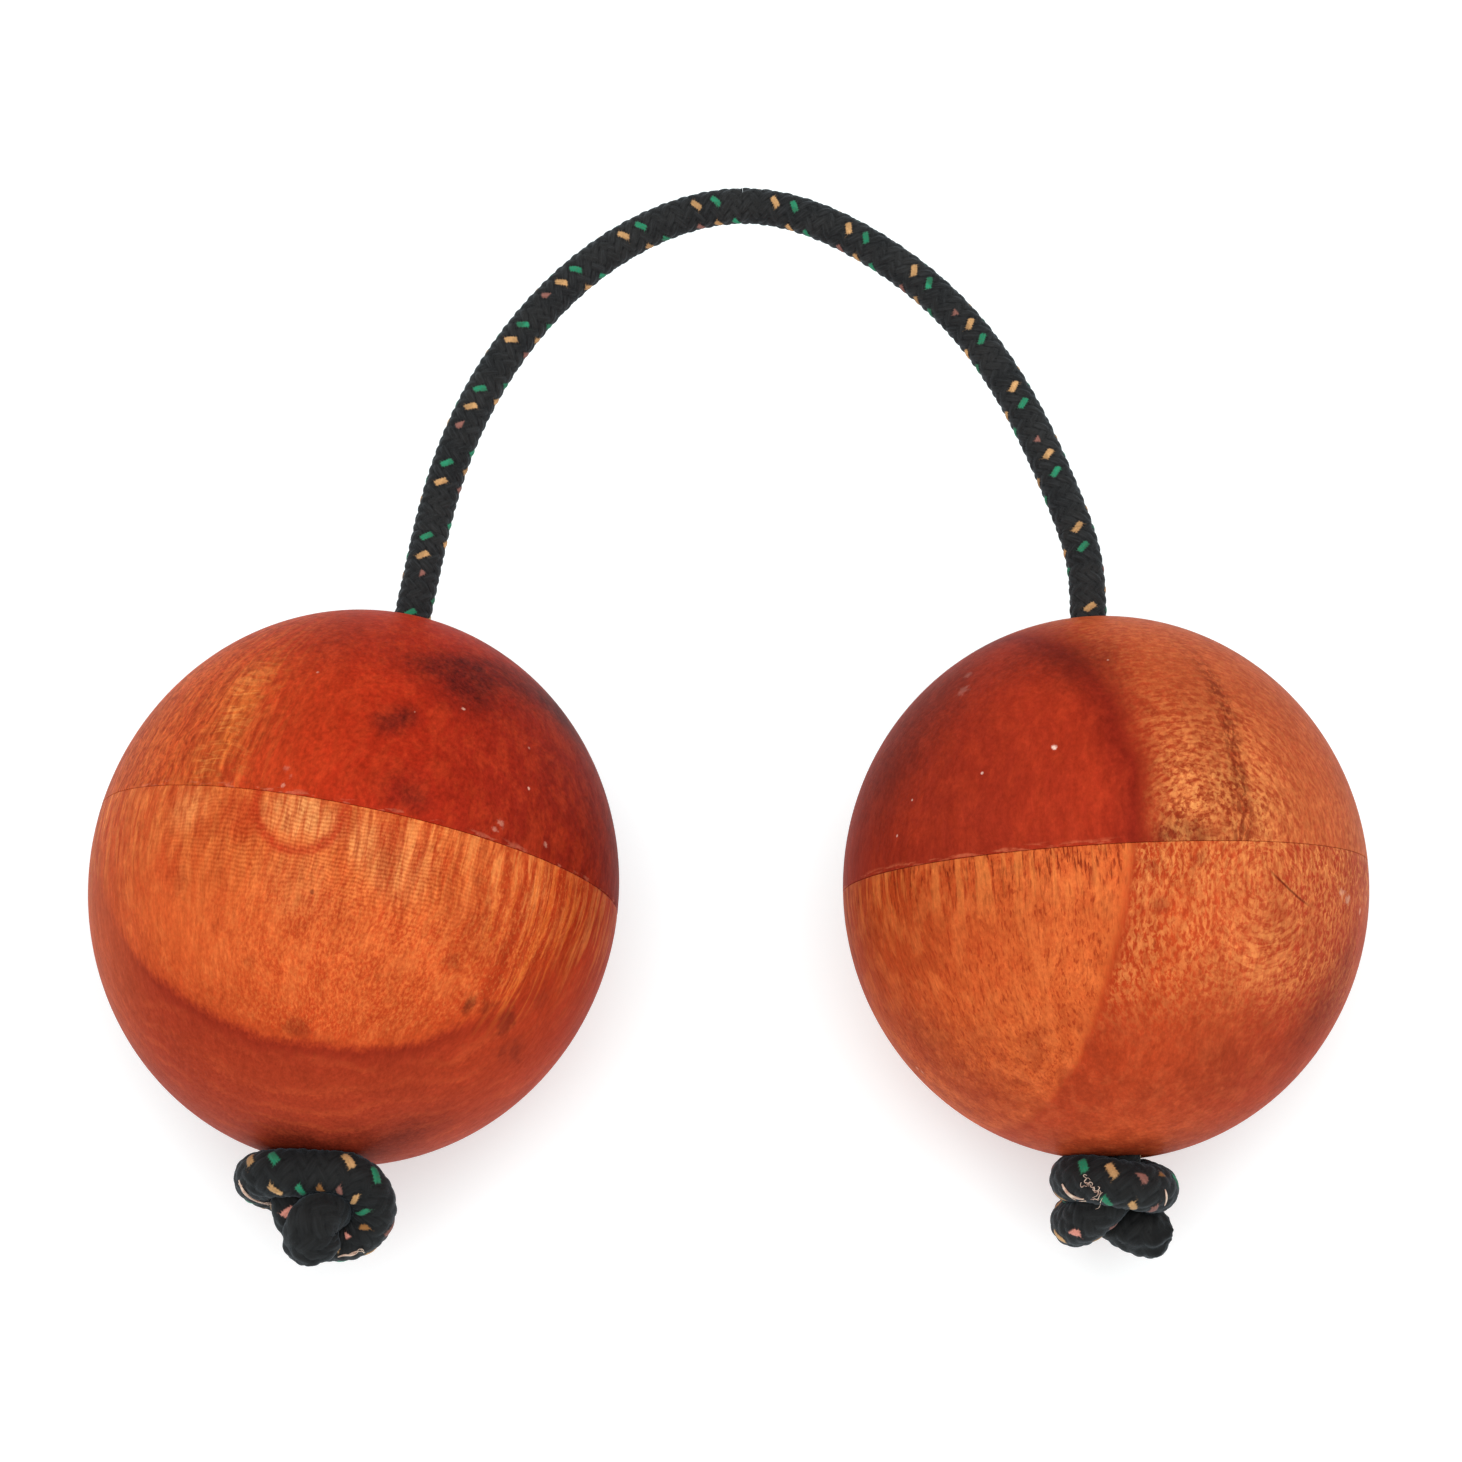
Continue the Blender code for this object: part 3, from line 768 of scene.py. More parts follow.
def frays(name):
    """The loose yarn of one knot, laid on the knot's own surface."""
    body = made[f"cord_end_{name}"][0].data
    tree = BVHTree.FromPolygons([v.co[:] for v in body.vertices], [p.vertices[:] for p in body.polygons])
    luck = random.Random(11 if name == "left" else 23)
    eye = Vector(EYE * MM)
    verts, faces = [], []
    for pixels, thick, many, spread in FRAYS[name]:
        for k in range(many):
            points, depth = [], None
            if spread < 5:
                passed = [(x + luck.uniform(-spread, spread), y + luck.uniform(-0.6, 0.6) * spread) for x, y in pixels]
            else:
                # a scribble: short, turning steps from a place along the line
                x, y = luck.choice(pixels)
                x, y, turn = x + luck.uniform(-3, 3), y + luck.uniform(-3, 3), luck.uniform(0, 6.3)
                passed = [(x, y)]
                for _ in range(luck.choice((3, 4, 5))):
                    turn += luck.uniform(-1.9, 1.9)
                    step = luck.uniform(0.35, 0.8) * spread
                    x, y = x + step * math.cos(turn), y + step * math.sin(turn)
                    passed.append((x, y))
            for px, py in passed:
                ray = Vector(in_picture(px, py, 1000.0) * MM) - eye
                hit, normal, _, far = tree.ray_cast(eye, ray.normalized())
                if hit is not None:
                    depth = far
                elif depth is None:
                    continue
                lift = luck.uniform(0.3, 0.9) * thick + 0.05 * many * luck.random()
                points.append((eye + ray.normalized() * depth) * 1000 + Vector(TOWARDS) * lift)
            if len(points) < 3:
                continue
            line = spline(np.array(points), fine=6)
            t = np.gradient(line, axis=0)
            t /= np.linalg.norm(t, axis=1)[:, None] + 1e-9
            a = np.cross(t, TOWARDS)
            a /= np.linalg.norm(a, axis=1)[:, None] + 1e-9
            b = np.cross(t, a)
            sides, start, n = 7, len(verts), len(line)
            for r in range(n):
                at = r / (n - 1)
                wide = thick / 2 * (0.55 + 0.45 * math.sin(math.pi * at)) * (1 + 0.25 * math.sin(5 * at + k))
                for q in range(sides):
                    w = 2 * math.pi * q / sides
                    verts.append((line[r] + wide * (math.cos(w) * a[r] + math.sin(w) * b[r])) * MM)
            for r in range(n - 1):
                for q in range(sides):
                    o, q2 = start + r * sides, (q + 1) % sides
                    faces.append((o + q, o + q2, o + sides + q2, o + sides + q))
            faces.append(tuple(range(start + sides - 1, start - 1, -1)))
            faces.append(tuple(range(start + (n - 1) * sides, start + n * sides)))
    mesh = bpy.data.meshes.new(f"{name}_frays")
    mesh.from_pydata([v.tolist() for v in verts], [], faces)
    mesh.shade_smooth()
    mesh.update()
    obj = bpy.data.objects.new(f"{name}_frays", mesh)
    scene.collection.objects.link(obj)
    mesh.materials.append(fray_mat)
    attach(obj, f"{name}_leg")
    return obj


fray_mat = fray_material()
for name in BALLS:
    frays(name)


# ---------------------------------------------------------------------------
# Balls
# ---------------------------------------------------------------------------
def lathe(name, profile, sides):
    """A closed (radius, height) loop, in millimetres, turned about Z."""
    p = np.asarray(profile, float)
    n = len(p)
    a = np.arange(sides) * 2 * math.pi / sides
    verts = np.stack(
        [np.outer(np.cos(a), p[:, 0]), np.outer(np.sin(a), p[:, 0]), np.tile(p[:, 1], (sides, 1))], -1
    ).reshape(-1, 3)
    faces = []
    for s in range(sides):
        s2 = (s + 1) % sides
        for k in range(n):
            k2 = (k + 1) % n
            faces.append((s * n + k, s * n + k2, s2 * n + k2, s2 * n + k))
    mesh = bpy.data.meshes.new(name)
    mesh.from_pydata((verts * MM).tolist(), [], faces)
    mesh.update()
    bm = bmesh.new()
    bm.from_mesh(mesh)
    bmesh.ops.recalc_face_normals(bm, faces=bm.faces)
    bm.to_mesh(mesh)
    bm.free()
    mesh.shade_smooth()
    mesh.set_sharp_from_angle(angle=math.radians(38))
    return mesh


SEAM = 0.012            # half the open width of the glue line
EDGE = 0.11             # how far its edges are rounded


def half_profiles(b):
    re, rp, seam = b["re"], b["rp"], b["seam"]
    hole, mouth, step = HOLE_D / 2, MOUTH_D / 2, STEP_D / 2
    rc, hc, zc = CAVITY_D / 2, b["chamber"], b["shift"]

    def outer(a):
        return re * math.cos(a), rp * math.sin(a)

    def chamber(a):
        return rc * math.cos(a), zc + hc * math.sin(a)

    def lat(h):
        return math.asin(h / rp)

    def lat_in(h):
        return math.asin((h - zc) / hc)

    top = math.acos(mouth / re)
    end = math.acos(hole / rc)
    up, down = seam + SEAM, seam - SEAM

    def rounded_mouth(sign):
        # from the outer surface over a soft lip into the hole
        r, h = outer(sign * top)
        pts = []
        for k in range(5):
            a = math.radians(90 * k / 4)
            pts.append((hole + (r - hole) * (1 - math.sin(a)), h - sign * 0.9 * (1 - math.cos(a))))
        return pts

    def edge(sign, at):
        # rounded edge of the seam, from the outer surface to the seam's face
        r, h = outer(lat(at + sign * EDGE))
        r0 = outer(lat(at))[0]
        pts = []
        for k in range(4):
            a = math.radians(90 * k / 3)
            pts.append((r0 - EDGE * (1 - math.cos(a)), at + sign * EDGE * (1 - math.sin(a))))
        return pts

    upper = rounded_mouth(1)[::-1]
    upper += [outer(a) for a in np.linspace(top, lat(up + EDGE), 62)[1:-1]]
    upper += edge(1, up)
    lip = up + STEP_H
    upper += [(step, up), (step, lip), (rc * math.cos(lat_in(lip)), lip)]
    upper += [chamber(a) for a in np.linspace(lat_in(lip), end, 20)[1:]]
    lower = [(step - GAP, lip - GAP), (step - GAP, down)]
    lower += edge(-1, down)[::-1]
    lower += [outer(a) for a in np.linspace(lat(down - EDGE), -top, 72)[1:-1]]
    lower += rounded_mouth(-1)
    lower += [chamber(a) for a in np.linspace(-end, lat_in(lip - GAP), 24)]
    return upper, lower


def wood_base(name):
    """The shared parts of a turned hardwood half: coordinates, grain, pores and ripple."""
    m = Shade(name)
    p = m.vec("SCALE", m.coord, scale=1 / 0.03)
    x, y, z = m.split(p)
    spread = m.math("MULTIPLY_ADD", z, 0.28, 1.0)
    q = m.join(m.math("DIVIDE", x, spread), m.math("DIVIDE", y, spread), z)
    sway = m.node("ShaderNodeTexNoise", {"Vector": p, "Scale": 1.7, "Detail": 2.0}).outputs["Color"]
    sway = m.vec("SCALE", m.vec("SUBTRACT", sway, (0.5, 0.5, 0.5)), scale=0.16)
    q = m.vec("ADD", q, sway)
    m.p, m.q, m.x, m.y, m.z = p, q, x, y, z

    def along(sx, sz, detail=3.0, rough=0.55, distort=0.0):
        return m.noise(m.vec("MULTIPLY", q, (sx, sx, sz)), 1.0, detail, rough, distort)

    def skin(sx, sz, detail=3.0, rough=0.55, distort=0.0):
        # the same, but drawn along the turned surface instead of through the wood
        return m.noise(m.vec("MULTIPLY", m.round, (sx, sx, sz)), 1.0, detail, rough, distort)

    reach = m.math("SQRT", m.math("ADD", m.math("MULTIPLY", x, x), m.math("MULTIPLY", y, y)))
    reach = m.math("MAXIMUM", reach, 0.05)
    m.round = m.vec("ADD", m.join(m.math("DIVIDE", x, reach), m.math("DIVIDE", y, reach), z), m.vec("SCALE", sway, scale=0.6))
    m.along, m.skin = along, skin
    m.broad = along(9.0, 0.9)
    m.grain = along(34.0, 2.2, 4.0, 0.6)
    m.lines = along(74.0, 2.6, 2.0, 0.5)
    m.bands = along(27.0, 1.1, 3.0, 0.55)
    m.long = along(44.0, 0.8, 3.0, 0.55)
    m.fine = along(150.0, 30.0, 2.0, 0.6)
    m.speck = along(62.0, 42.0, 2.0, 0.6)
    m.pores = along(100.0, 14.0, 2.0, 0.5)
    m.mottle = along(44.0, 24.0, 3.0, 0.6, 0.9)
    m.cloud = m.noise(p, 4.0, 4.0, 0.6)
    return m


def ripples(m, per_unit, wander=0.10):
    """Fine wavy lines across the grain, 0 to 1, each line broken and uneven."""
    sway = m.noise(m.p, 2.6, 3.0, 0.5)
    jog = m.along(30.0, 6.0, 2.0, 0.5)
    at = m.math("ADD", m.z, m.math("MULTIPLY", sway, wander))
    at = m.math("ADD", at, m.math("MULTIPLY", jog, 0.016))
    wave = m.math("SINE", m.math("MULTIPLY", at, 2 * math.pi * per_unit))
    return m.math("MULTIPLY_ADD", wave, 0.5, 0.5)


def plane_of(ball, *pixels, toward=False):
    """The plane through three places on a ball, positive to the right in the picture, or to the arch."""
    a, b, c = (seen_at(ball, *px) for px in pixels)
    n = np.cross(b - a, c - a)
    n /= np.linalg.norm(n)
    if (n[2] < 0) if toward else (n[1] > 0):
        n = -n
    return tuple(n), float(n @ a)


def spots(m, ball, places, ragged=1.1, grit=9.0):
    """A mask of soft, broken patches at places on a ball: pixel, pixel, radius in millimetres, strength."""
    rough = m.noise(m.p, grit, 5.0, 0.65)
    total = None
    for px, py, radius, strength in places:
        far = m.vec("DISTANCE", m.p, tuple(seen_at(ball, px, py)))
        far = m.math("ADD", far, m.math("MULTIPLY", m.math("SUBTRACT", rough, 0.5), ragged * radius / 30))
        mask = m.span(far, radius / 30, 0.25 * radius / 30, 0.0, strength)
        total = mask if total is None else m.math("MAXIMUM", total, mask)
    return total


def stains(m, ball, places, most=0.8):
    """Soft stains soaked in along the grain: pixel, pixel, radius in millimetres, strength."""
    soak = m.along(8.0, 5.0, 5.0, 0.65, 0.6)
    total = None
    for px, py, radius, strength in places:
        far = m.vec("DISTANCE", m.p, tuple(seen_at(ball, px, py)))
        far = m.math("ADD", far, m.math("MULTIPLY", m.math("SUBTRACT", soak, 0.5), 0.9 * radius / 30))
        mask = m.span(far, 1.45 * radius / 30, 0.0, 0.0, strength)
        total = mask if total is None else m.math("ADD", total, mask)
    total = m.math("MINIMUM", total, most)
    return m.math("MULTIPLY", total, m.span(m.speck, 0.25, 0.7, 1.1, 0.75, smooth=False))


def blend_in(m, colour, mask, amount, tone):
    return m.mix(m.math("MULTIPLY", mask, amount), colour, tone)


def darker(m, colour, mask, tone):
    """The colour multiplied by a tone where the mask is 1."""
    return m.mix(mask, colour, m.mix(1.0, colour, tone, "MULTIPLY"))


def product(m, *masks):
    out = masks[0]
    for k in masks[1:]:
        out = m.math("MULTIPLY", out, k)
    return out


def arcs(m, ball, px, py, across, along, below=False, low=0.42, high=0.62):
    """Short strokes of curly figure, bowed round a place, 0 to 1."""
    place = seen_at(ball, px, py)
    r = m.vec("DISTANCE", m.p, tuple(place))
    rise = m.math("SUBTRACT", m.z, float(place[2]))
    if below:
        rise = m.math("MULTIPLY", rise, -1.0)
    turn = m.math("ARCTAN2", m.math("SUBTRACT", m.y, float(place[1])), rise)
    where = m.join(m.math("MULTIPLY", m.math("MULTIPLY", turn, r), along), m.math("MULTIPLY", r, across), m.math("MULTIPLY", m.x, along))
    return m.span(m.noise(where, 1.0, 3.0, 0.55, 0.4), low, high)


def rows(m, ball, px, py, pitch):
    """Fine concentric lines of figure round a far place, uneven and broken, 0 to 1."""
    r = m.vec("DISTANCE", m.p, tuple(seen_at(ball, px, py)))
    r = m.math("ADD", r, m.math("MULTIPLY", m.noise(m.p, 5.0, 2.0), 0.07))
    r = m.math("ADD", r, m.math("MULTIPLY", m.noise(m.p, 26.0, 2.0), 0.034))
    wave = m.math("SINE", m.math("MULTIPLY", r, 2 * math.pi * 30 / pitch))
    return m.math("MULTIPLY", m.math("MULTIPLY_ADD", wave, 0.5, 0.5), m.span(m.mottle, 0.38, 0.56))


def eye(m, ball, px, py, pitch, reach, tall=1.6):
    """Closed rings of figure round a place: (rings, cover), each 0 to 1."""
    place = seen_at(ball, px, py)
    flat = m.vec("MULTIPLY", m.vec("SUBTRACT", m.p, tuple(place)), (1.0, 1.0, 1 / tall))
    r = m.vec("LENGTH", flat)
    r = m.math("ADD", r, m.math("MULTIPLY", m.math("SUBTRACT", m.noise(m.p, 14.0, 3.0), 0.5), 0.05))
    wave = m.math("SINE", m.math("MULTIPLY", r, 2 * math.pi * 30 / pitch))
    return m.math("MULTIPLY_ADD", wave, 0.5, 0.5), m.span(r, reach / 30, 0.3 * reach / 30)


def mark(m, ball, pixels, width, limit=None):
    """A thin irregular line across a ball, through three places, 0 to 1."""
    n, c = plane_of(ball, *pixels)
    far = m.math("SUBTRACT", m.vec("DOT_PRODUCT", m.p, n), c)
    far = m.math("ADD", far, m.math("MULTIPLY", m.math("SUBTRACT", m.cloud, 0.5), 2.2 * width / 30))
    far = m.math("ABSOLUTE", far)
    out = m.span(far, width / 30, 0.2 * width / 30)
    if limit is not None:
        place = tuple(seen_at(ball, *pixels[1]))
        out = m.math("MULTIPLY", out, m.span(m.vec("DISTANCE", m.p, place), limit / 30, 0.35 * limit / 30))
    return out


def finish_wood(m, colour, gloss=0.48, stipple=0.8, streak=0.36):
    """Grain, pores and tone over a half's own colours, and the satin finish."""
    colour = darker(m, colour, m.span(m.grain, 0.3, 0.7, 0.0, streak), (0.62, 0.5, 0.42))
    tone = m.math("MULTIPLY_ADD", m.speck, stipple, 1.0 - 0.5 * stipple)
    colour = m.mix(1.0, colour, tone, "MULTIPLY")
    tone = m.math("MULTIPLY_ADD", m.cloud, 0.4, 0.8)
    colour = m.mix(1.0, colour, tone, "MULTIPLY")
    colour = m.mix(m.span(m.fine, 0.4, 0.75, 0.0, 0.4), colour, m.mix(1.0, colour, (1.25, 1.3, 1.3), "MULTIPLY"))
    height = m.math("ADD", m.math("MULTIPLY", m.fine, 0.5), m.math("MULTIPLY", m.grain, 0.5))
    rough = m.math("MULTIPLY_ADD", m.grain, 0.16, gloss - 0.08)
    return m.out(
        Base_Color=colour,
        Roughness=rough,
        Normal=m.bump(height, 0.15, 0.0004),
        Specular_IOR_Level=0.015,
    )


def wood_left_upper():
    m = wood_base("wood_left_upper")
    across = m.math("ADD", m.y, m.math("MULTIPLY", m.math("SUBTRACT", m.broad, 0.5), 0.22))
    across = m.math("ADD", across, m.math("MULTIPLY", m.math("SUBTRACT", m.grain, 0.5), 0.16))
    colour = m.ramp(
        m.span(across, -1.0, 1.0, smooth=False),
        [
            (0.03, srgb(122, 34, 22)),
            (0.20, srgb(145, 37, 22)),
            (0.40, srgb(163, 40, 20)),
            (0.54, srgb(172, 47, 22)),
            (0.64, srgb(180, 57, 27)),
            (0.74, srgb(190, 69, 33)),
            (0.84, srgb(202, 86, 42)),
            (0.92, srgb(200, 92, 50)),
            (0.98, srgb(194, 92, 58)),
        ],
        "LINEAR",
    )
    leftward = m.span(m.y, 0.1, 0.5)
    # darker strands and paler ones between them on the side that runs to pale wood
    colour = blend_in(m, colour, product(m, m.span(m.lines, 0.5, 0.64), leftward), 0.55, srgb(138, 44, 20))
    colour = blend_in(m, colour, product(m, m.span(m.skin(26.0, 4.0, 3.0, 0.6, 0.7), 0.54, 0.38), leftward), 0.36, srgb(222, 116, 56))
    colour = blend_in(m, colour, product(m, m.span(m.skin(42.0, 6.0, 3.0, 0.6, 0.6), 0.5, 0.64), leftward), 0.36, srgb(146, 48, 22))
    at = float(seen_at("left", 230, 735)[1])
    tall = product(m, m.span(m.z, 0.74, 0.46), m.span(m.z, 0.05, 0.2, 0.55, 1.0))
    lean = m.math("SUBTRACT", across, m.math("MULTIPLY", m.math("SUBTRACT", m.z, 0.36), -0.16))
    flame = product(m, m.span(m.math("ABSOLUTE", m.math("SUBTRACT", lean, at)), 0.15, 0.0), tall)
    colour = blend_in(m, colour, product(m, flame, m.span(m.skin(20.0, 5.0), 0.4, 0.58, 0.35, 1.0)), 0.6, srgb(232, 126, 56))
    colour = blend_in(m, colour, product(m, m.span(m.skin(30.0, 2.6, 3.0, 0.6, 0.5), 0.5, 0.62), m.span(m.math("ABSOLUTE", m.math("SUBTRACT", lean, at)), 0.3, 0.1), tall), 0.5, srgb(148, 50, 23))
    curls = product(m, flame, m.span(m.along(9.0, 40.0, 3.0, 0.55, 1.0), 0.46, 0.6))
    colour = blend_in(m, colour, curls, 0.5, srgb(240, 150, 78))
    ring, cover = eye(m, "left", 209, 768, 0.95, 3.4)
    colour = blend_in(m, colour, product(m, ring, cover), 0.5, srgb(150, 54, 24))
    ring, cover = eye(m, "left", 238, 716, 1.0, 2.6, 2.2)
    colour = blend_in(m, colour, product(m, ring, cover), 0.35, srgb(160, 58, 26))
    colour = blend_in(m, colour, product(m, m.span(m.long, 0.5, 0.62), m.span(m.y, 0.0, 0.3)), 0.35, srgb(150, 46, 20))
    # soft red strands in the dark wood
    soft = m.along(20.0, 2.4, 4.0, 0.6)
    colour = blend_in(m, colour, product(m, m.span(soft, 0.42, 0.64), m.span(m.y, 0.5, 0.2)), 0.24, srgb(206, 74, 36))
    dark = stains(
        m,
        "left",
        [
            (412, 664, 3.6, 0.3),
            (442, 667, 4.0, 0.42),
            (468, 673, 4.6, 0.56),
            (500, 680, 5.0, 0.5),
            (530, 688, 5.0, 0.46),
            (556, 708, 5.2, 0.5),
            (574, 732, 5.0, 0.36),
            (458, 696, 3.6, 0.34),
            (484, 702, 3.2, 0.26),
            (396, 719, 2.3, 0.44),
            (408, 714, 1.8, 0.4),
            (384, 723, 1.8, 0.36),
            (404, 784, 3.0, 0.3),
            (417, 801, 1.8, 0.36),
            (396, 797, 2.0, 0.16),
            (345, 634, 8.0, 0.2),
        ],
        0.74,
    )
    colour = m.mix(dark, colour, srgb(62, 20, 20))
    # painted shade: the edge facing the other ball is darker and deeper red, as it reflects less of the white room
    colour = blend_in(m, colour, m.span(m.y, -0.68, -1.0), 0.4, srgb(128, 22, 6))
    dust = spots(m, "left", [(464, 709, 0.3, 0.9), (529, 789, 0.28, 0.85), (283, 785, 0.3, 0.4), (318, 672, 0.22, 0.45), (501, 824, 0.6, 0.34), (495, 829, 0.45, 0.34), (546, 845, 0.4, 0.4), (415, 712, 0.2, 0.4), (529, 748, 0.2, 0.4), (286, 768, 0.5, 0.14), (290, 776, 0.4, 0.14)], 3.0, 46.0)
    colour = m.mix(dust, colour, srgb(226, 172, 150))
    edge = product(m, m.span(m.z, 0.126, 0.104), m.span(m.skin(11.0, 40.0, 4.0, 0.65), 0.54, 0.64))
    colour = blend_in(m, colour, edge, 0.3, srgb(206, 128, 100))
    return finish_wood(m, colour, stipple=0.95)


def wood_left_lower():
    m = wood_base("wood_left_lower")
    n, c = plane_of("left", (108, 905), (298, 1046), (596, 900), toward=True)
    d = m.math("SUBTRACT", m.vec("DOT_PRODUCT", m.p, n), c)
    d = m.math("ADD", d, m.math("MULTIPLY", m.math("SUBTRACT", m.broad, 0.5), 0.06))
    d = m.math("ADD", d, m.math("MULTIPLY", m.math("SUBTRACT", m.speck, 0.5), 0.035))
    d = m.math("ADD", d, m.math("MULTIPLY", m.math("SUBTRACT", m.noise(m.p, 3.2, 2.0), 0.5), 0.06))
    colour = m.ramp(
        m.span(d, -0.6, 0.6, smooth=False),
        [
            (0.10, srgb(162, 60, 38)),
            (0.28, srgb(162, 57, 33)),
            (0.38, srgb(161, 56, 31)),
            (0.455, srgb(155, 51, 29)),
            (0.485, srgb(144, 44, 25)),
            (0.503, srgb(164, 56, 29)),
            (0.52, srgb(188, 74, 35)),
            (0.62, srgb(205, 90, 43)),
            (0.92, srgb(220, 107, 52)),
        ],
        "LINEAR",
    )
    away = m.span(m.y, -0.35, -0.95)
    colour = blend_in(m, colour, away, 0.55, srgb(184, 62, 29))
    pale = m.span(m.y, 0.5, 0.95)
    colour = blend_in(m, colour, pale, 0.6, srgb(196, 92, 52))
    # growth rings past the lens
    rings = m.math("SINE", m.math("MULTIPLY_ADD", d, 62.0, m.math("MULTIPLY", m.noise(m.p, 3.0, 3.0), 14.0)))
    colour = blend_in(m, colour, product(m, m.span(rings, 0.0, 1.0), m.span(d, -0.01, -0.05), m.span(m.cloud, 0.35, 0.65)), 0.22, srgb(206, 92, 50))
    colour = blend_in(m, colour, product(m, m.span(rings, 0.4, 1.0), m.span(d, 0.22, 0.05), m.span(d, 0.0, 0.02), m.span(m.cloud, 0.4, 0.6)), 0.16, srgb(150, 52, 27))
    # strands that run down from the seam
    near = product(m, m.span(m.z, -0.5, 0.08), m.span(m.along(7.0, 5.0), 0.36, 0.56, 0.55, 1.0))
    wide, thin = m.skin(23.0, 3.2, 4.0, 0.6, 0.8), m.skin(56.0, 7.0, 3.0, 0.55, 0.5)
    colour = blend_in(m, colour, product(m, m.span(wide, 0.56, 0.36), near), 0.5, srgb(238, 142, 74))
    # pale golden figure near the seam, with a painted highlight on it
    gold_figure_and_highlight = spots(m, "left", [(278, 812, 3.4, 0.55), (306, 818, 4.2, 0.8), (330, 824, 3.4, 0.6), (190, 806, 4.0, 0.3), (372, 842, 4.6, 0.5), (400, 862, 5.5, 0.45), (300, 880, 6.0, 0.15)], 0.8)
    colour = m.mix(product(m, gold_figure_and_highlight, m.span(wide, 0.62, 0.4, 0.6, 1.0)), colour, srgb(250, 176, 108))
    colour = blend_in(m, colour, product(m, m.span(thin, 0.46, 0.64), near), 0.6, srgb(170, 58, 26))
    colour = blend_in(m, colour, product(m, m.span(wide, 0.48, 0.66), near), 0.6, srgb(184, 66, 30))
    colour = blend_in(m, colour, product(m, m.span(m.long, 0.5, 0.6), near, m.span(m.y, 0.1, 0.5)), 0.4, srgb(160, 56, 26))
    # bolder strands to the right of the lens
    bold = product(m, m.span(m.z, -0.42, 0.06), m.span(m.y, 0.12, -0.2))
    comb = m.skin(38.0, 3.4, 3.0, 0.6, 0.6)
    colour = blend_in(m, colour, product(m, bold, m.span(comb, 0.5, 0.62)), 0.6, srgb(164, 52, 23))
    colour = blend_in(m, colour, product(m, bold, m.span(comb, 0.5, 0.38)), 0.45, srgb(246, 160, 88))
    place = tuple(seen_at("left", 300, 806))
    bow = m.math("ADD", m.vec("DISTANCE", m.p, place), m.math("MULTIPLY", m.math("SUBTRACT", m.noise(m.p, 12.0, 3.0), 0.5), 0.05))
    bow = m.span(m.math("ABSOLUTE", m.math("SUBTRACT", bow, 5.0 / 30)), 1.1 / 30, 0.1 / 30)
    colour = blend_in(m, colour, bow, 0.85, srgb(188, 62, 32))
    flush = stains(m, "left", [(236, 808, 3.2, 0.6), (245, 820, 2.6, 0.4), (352, 822, 1.6, 0.4), (390, 832, 2.0, 0.4), (160, 880, 4.0, 0.3), (170, 855, 3.0, 0.3)], 0.8)
    colour = m.mix(flush, colour, srgb(186, 62, 30))
    clump = m.along(11.0, 8.0, 4.0, 0.65, 0.4)
    colour = blend_in(m, colour, product(m, m.span(clump, 0.48, 0.64), m.span(d, 0.0, 0.06)), 0.3, srgb(184, 66, 31))
    colour = blend_in(m, colour, product(m, m.span(clump, 0.48, 0.36), m.span(d, 0.0, 0.06)), 0.25, srgb(232, 126, 66))
    # the streaks at the right
    fan = stains(m, "left", [(565, 895, 7.0, 0.8), (530, 940, 7.5, 0.8), (500, 985, 6.0, 0.5), (595, 930, 6.0, 0.5), (470, 900, 4.0, 0.3)], 1.0)
    blade = m.skin(30.0, 1.7, 4.0, 0.62, 0.4)
    colour = blend_in(m, colour, product(m, fan, m.span(blade, 0.46, 0.58)), 0.85, srgb(158, 48, 21))
    colour = blend_in(m, colour, product(m, fan, m.span(blade, 0.5, 0.38)), 0.6, srgb(232, 126, 54))
    # dark stipple over the pale wood, thick below and thin near the seam
    dots = m.along(92.0, 62.0, 3.0, 0.62)
    stipple = product(m, m.span(dots, 0.56, 0.38), m.span(d, 0.0, 0.06), m.span(m.z, 0.05, -0.35, 0.3, 1.0), m.span(m.y, 0.55, -0.05, 0.2, 1.0), m.span(clump, 0.36, 0.6, 0.45, 1.0))
    colour = blend_in(m, colour, stipple, 0.66, srgb(176, 54, 23))
    glints = product(m, m.span(dots, 0.52, 0.66), m.span(d, 0.02, 0.1), m.span(m.y, 0.55, -0.05, 0.2, 1.0))
    colour = blend_in(m, colour, glints, 0.3, srgb(236, 134, 70))
    colour = blend_in(m, colour, product(m, m.span(m.pores, 0.58, 0.68), m.span(d, 0.0, 0.05)), 0.3, srgb(160, 58, 26))
    lens = stains(m, "left", [(300, 835, 9.0, 0.9), (400, 870, 8.0, 0.8), (200, 840, 7.0, 0.6), (470, 890, 6.0, 0.4)], 1.0)
    wave = product(m, ripples(m, 66.0), lens)
    colour = darker(m, colour, m.math("MULTIPLY", wave, 0.95), (0.68, 0.52, 0.42))
    # painted shade: the edge facing the other ball is darker and deeper red, as it reflects less of the white room
    colour = blend_in(m, colour, m.span(m.y, -0.7, -1.0), 0.4, srgb(150, 32, 6))
    marks = spots(m, "left", [(298, 1028, 1.8, 0.36), (468, 1003, 1.6, 0.6), (452, 962, 1.4, 0.3), (486, 1008, 1.6, 0.4), (508, 1022, 2.2, 0.45), (516, 1048, 2.4, 0.35), (540, 1000, 2.2, 0.25), (478, 880, 1.0, 0.3), (312, 892, 0.35, 0.6), (250, 960, 1.0, 0.15), (178, 885, 2.2, 0.2)], 3.2)
    colour = m.mix(marks, colour, srgb(84, 28, 19))
    # painted shade: dark patches on the ball where its knot presses against it
    shade_at_knot = stains(m, "left", [(285, 1140, 5.0, 0.5), (330, 1148, 6.0, 0.6), (390, 1140, 5.0, 0.45), (430, 1125, 4.0, 0.25)])
    colour = m.mix(shade_at_knot, colour, srgb(74, 20, 13))
    return finish_wood(m, colour, stipple=0.6)


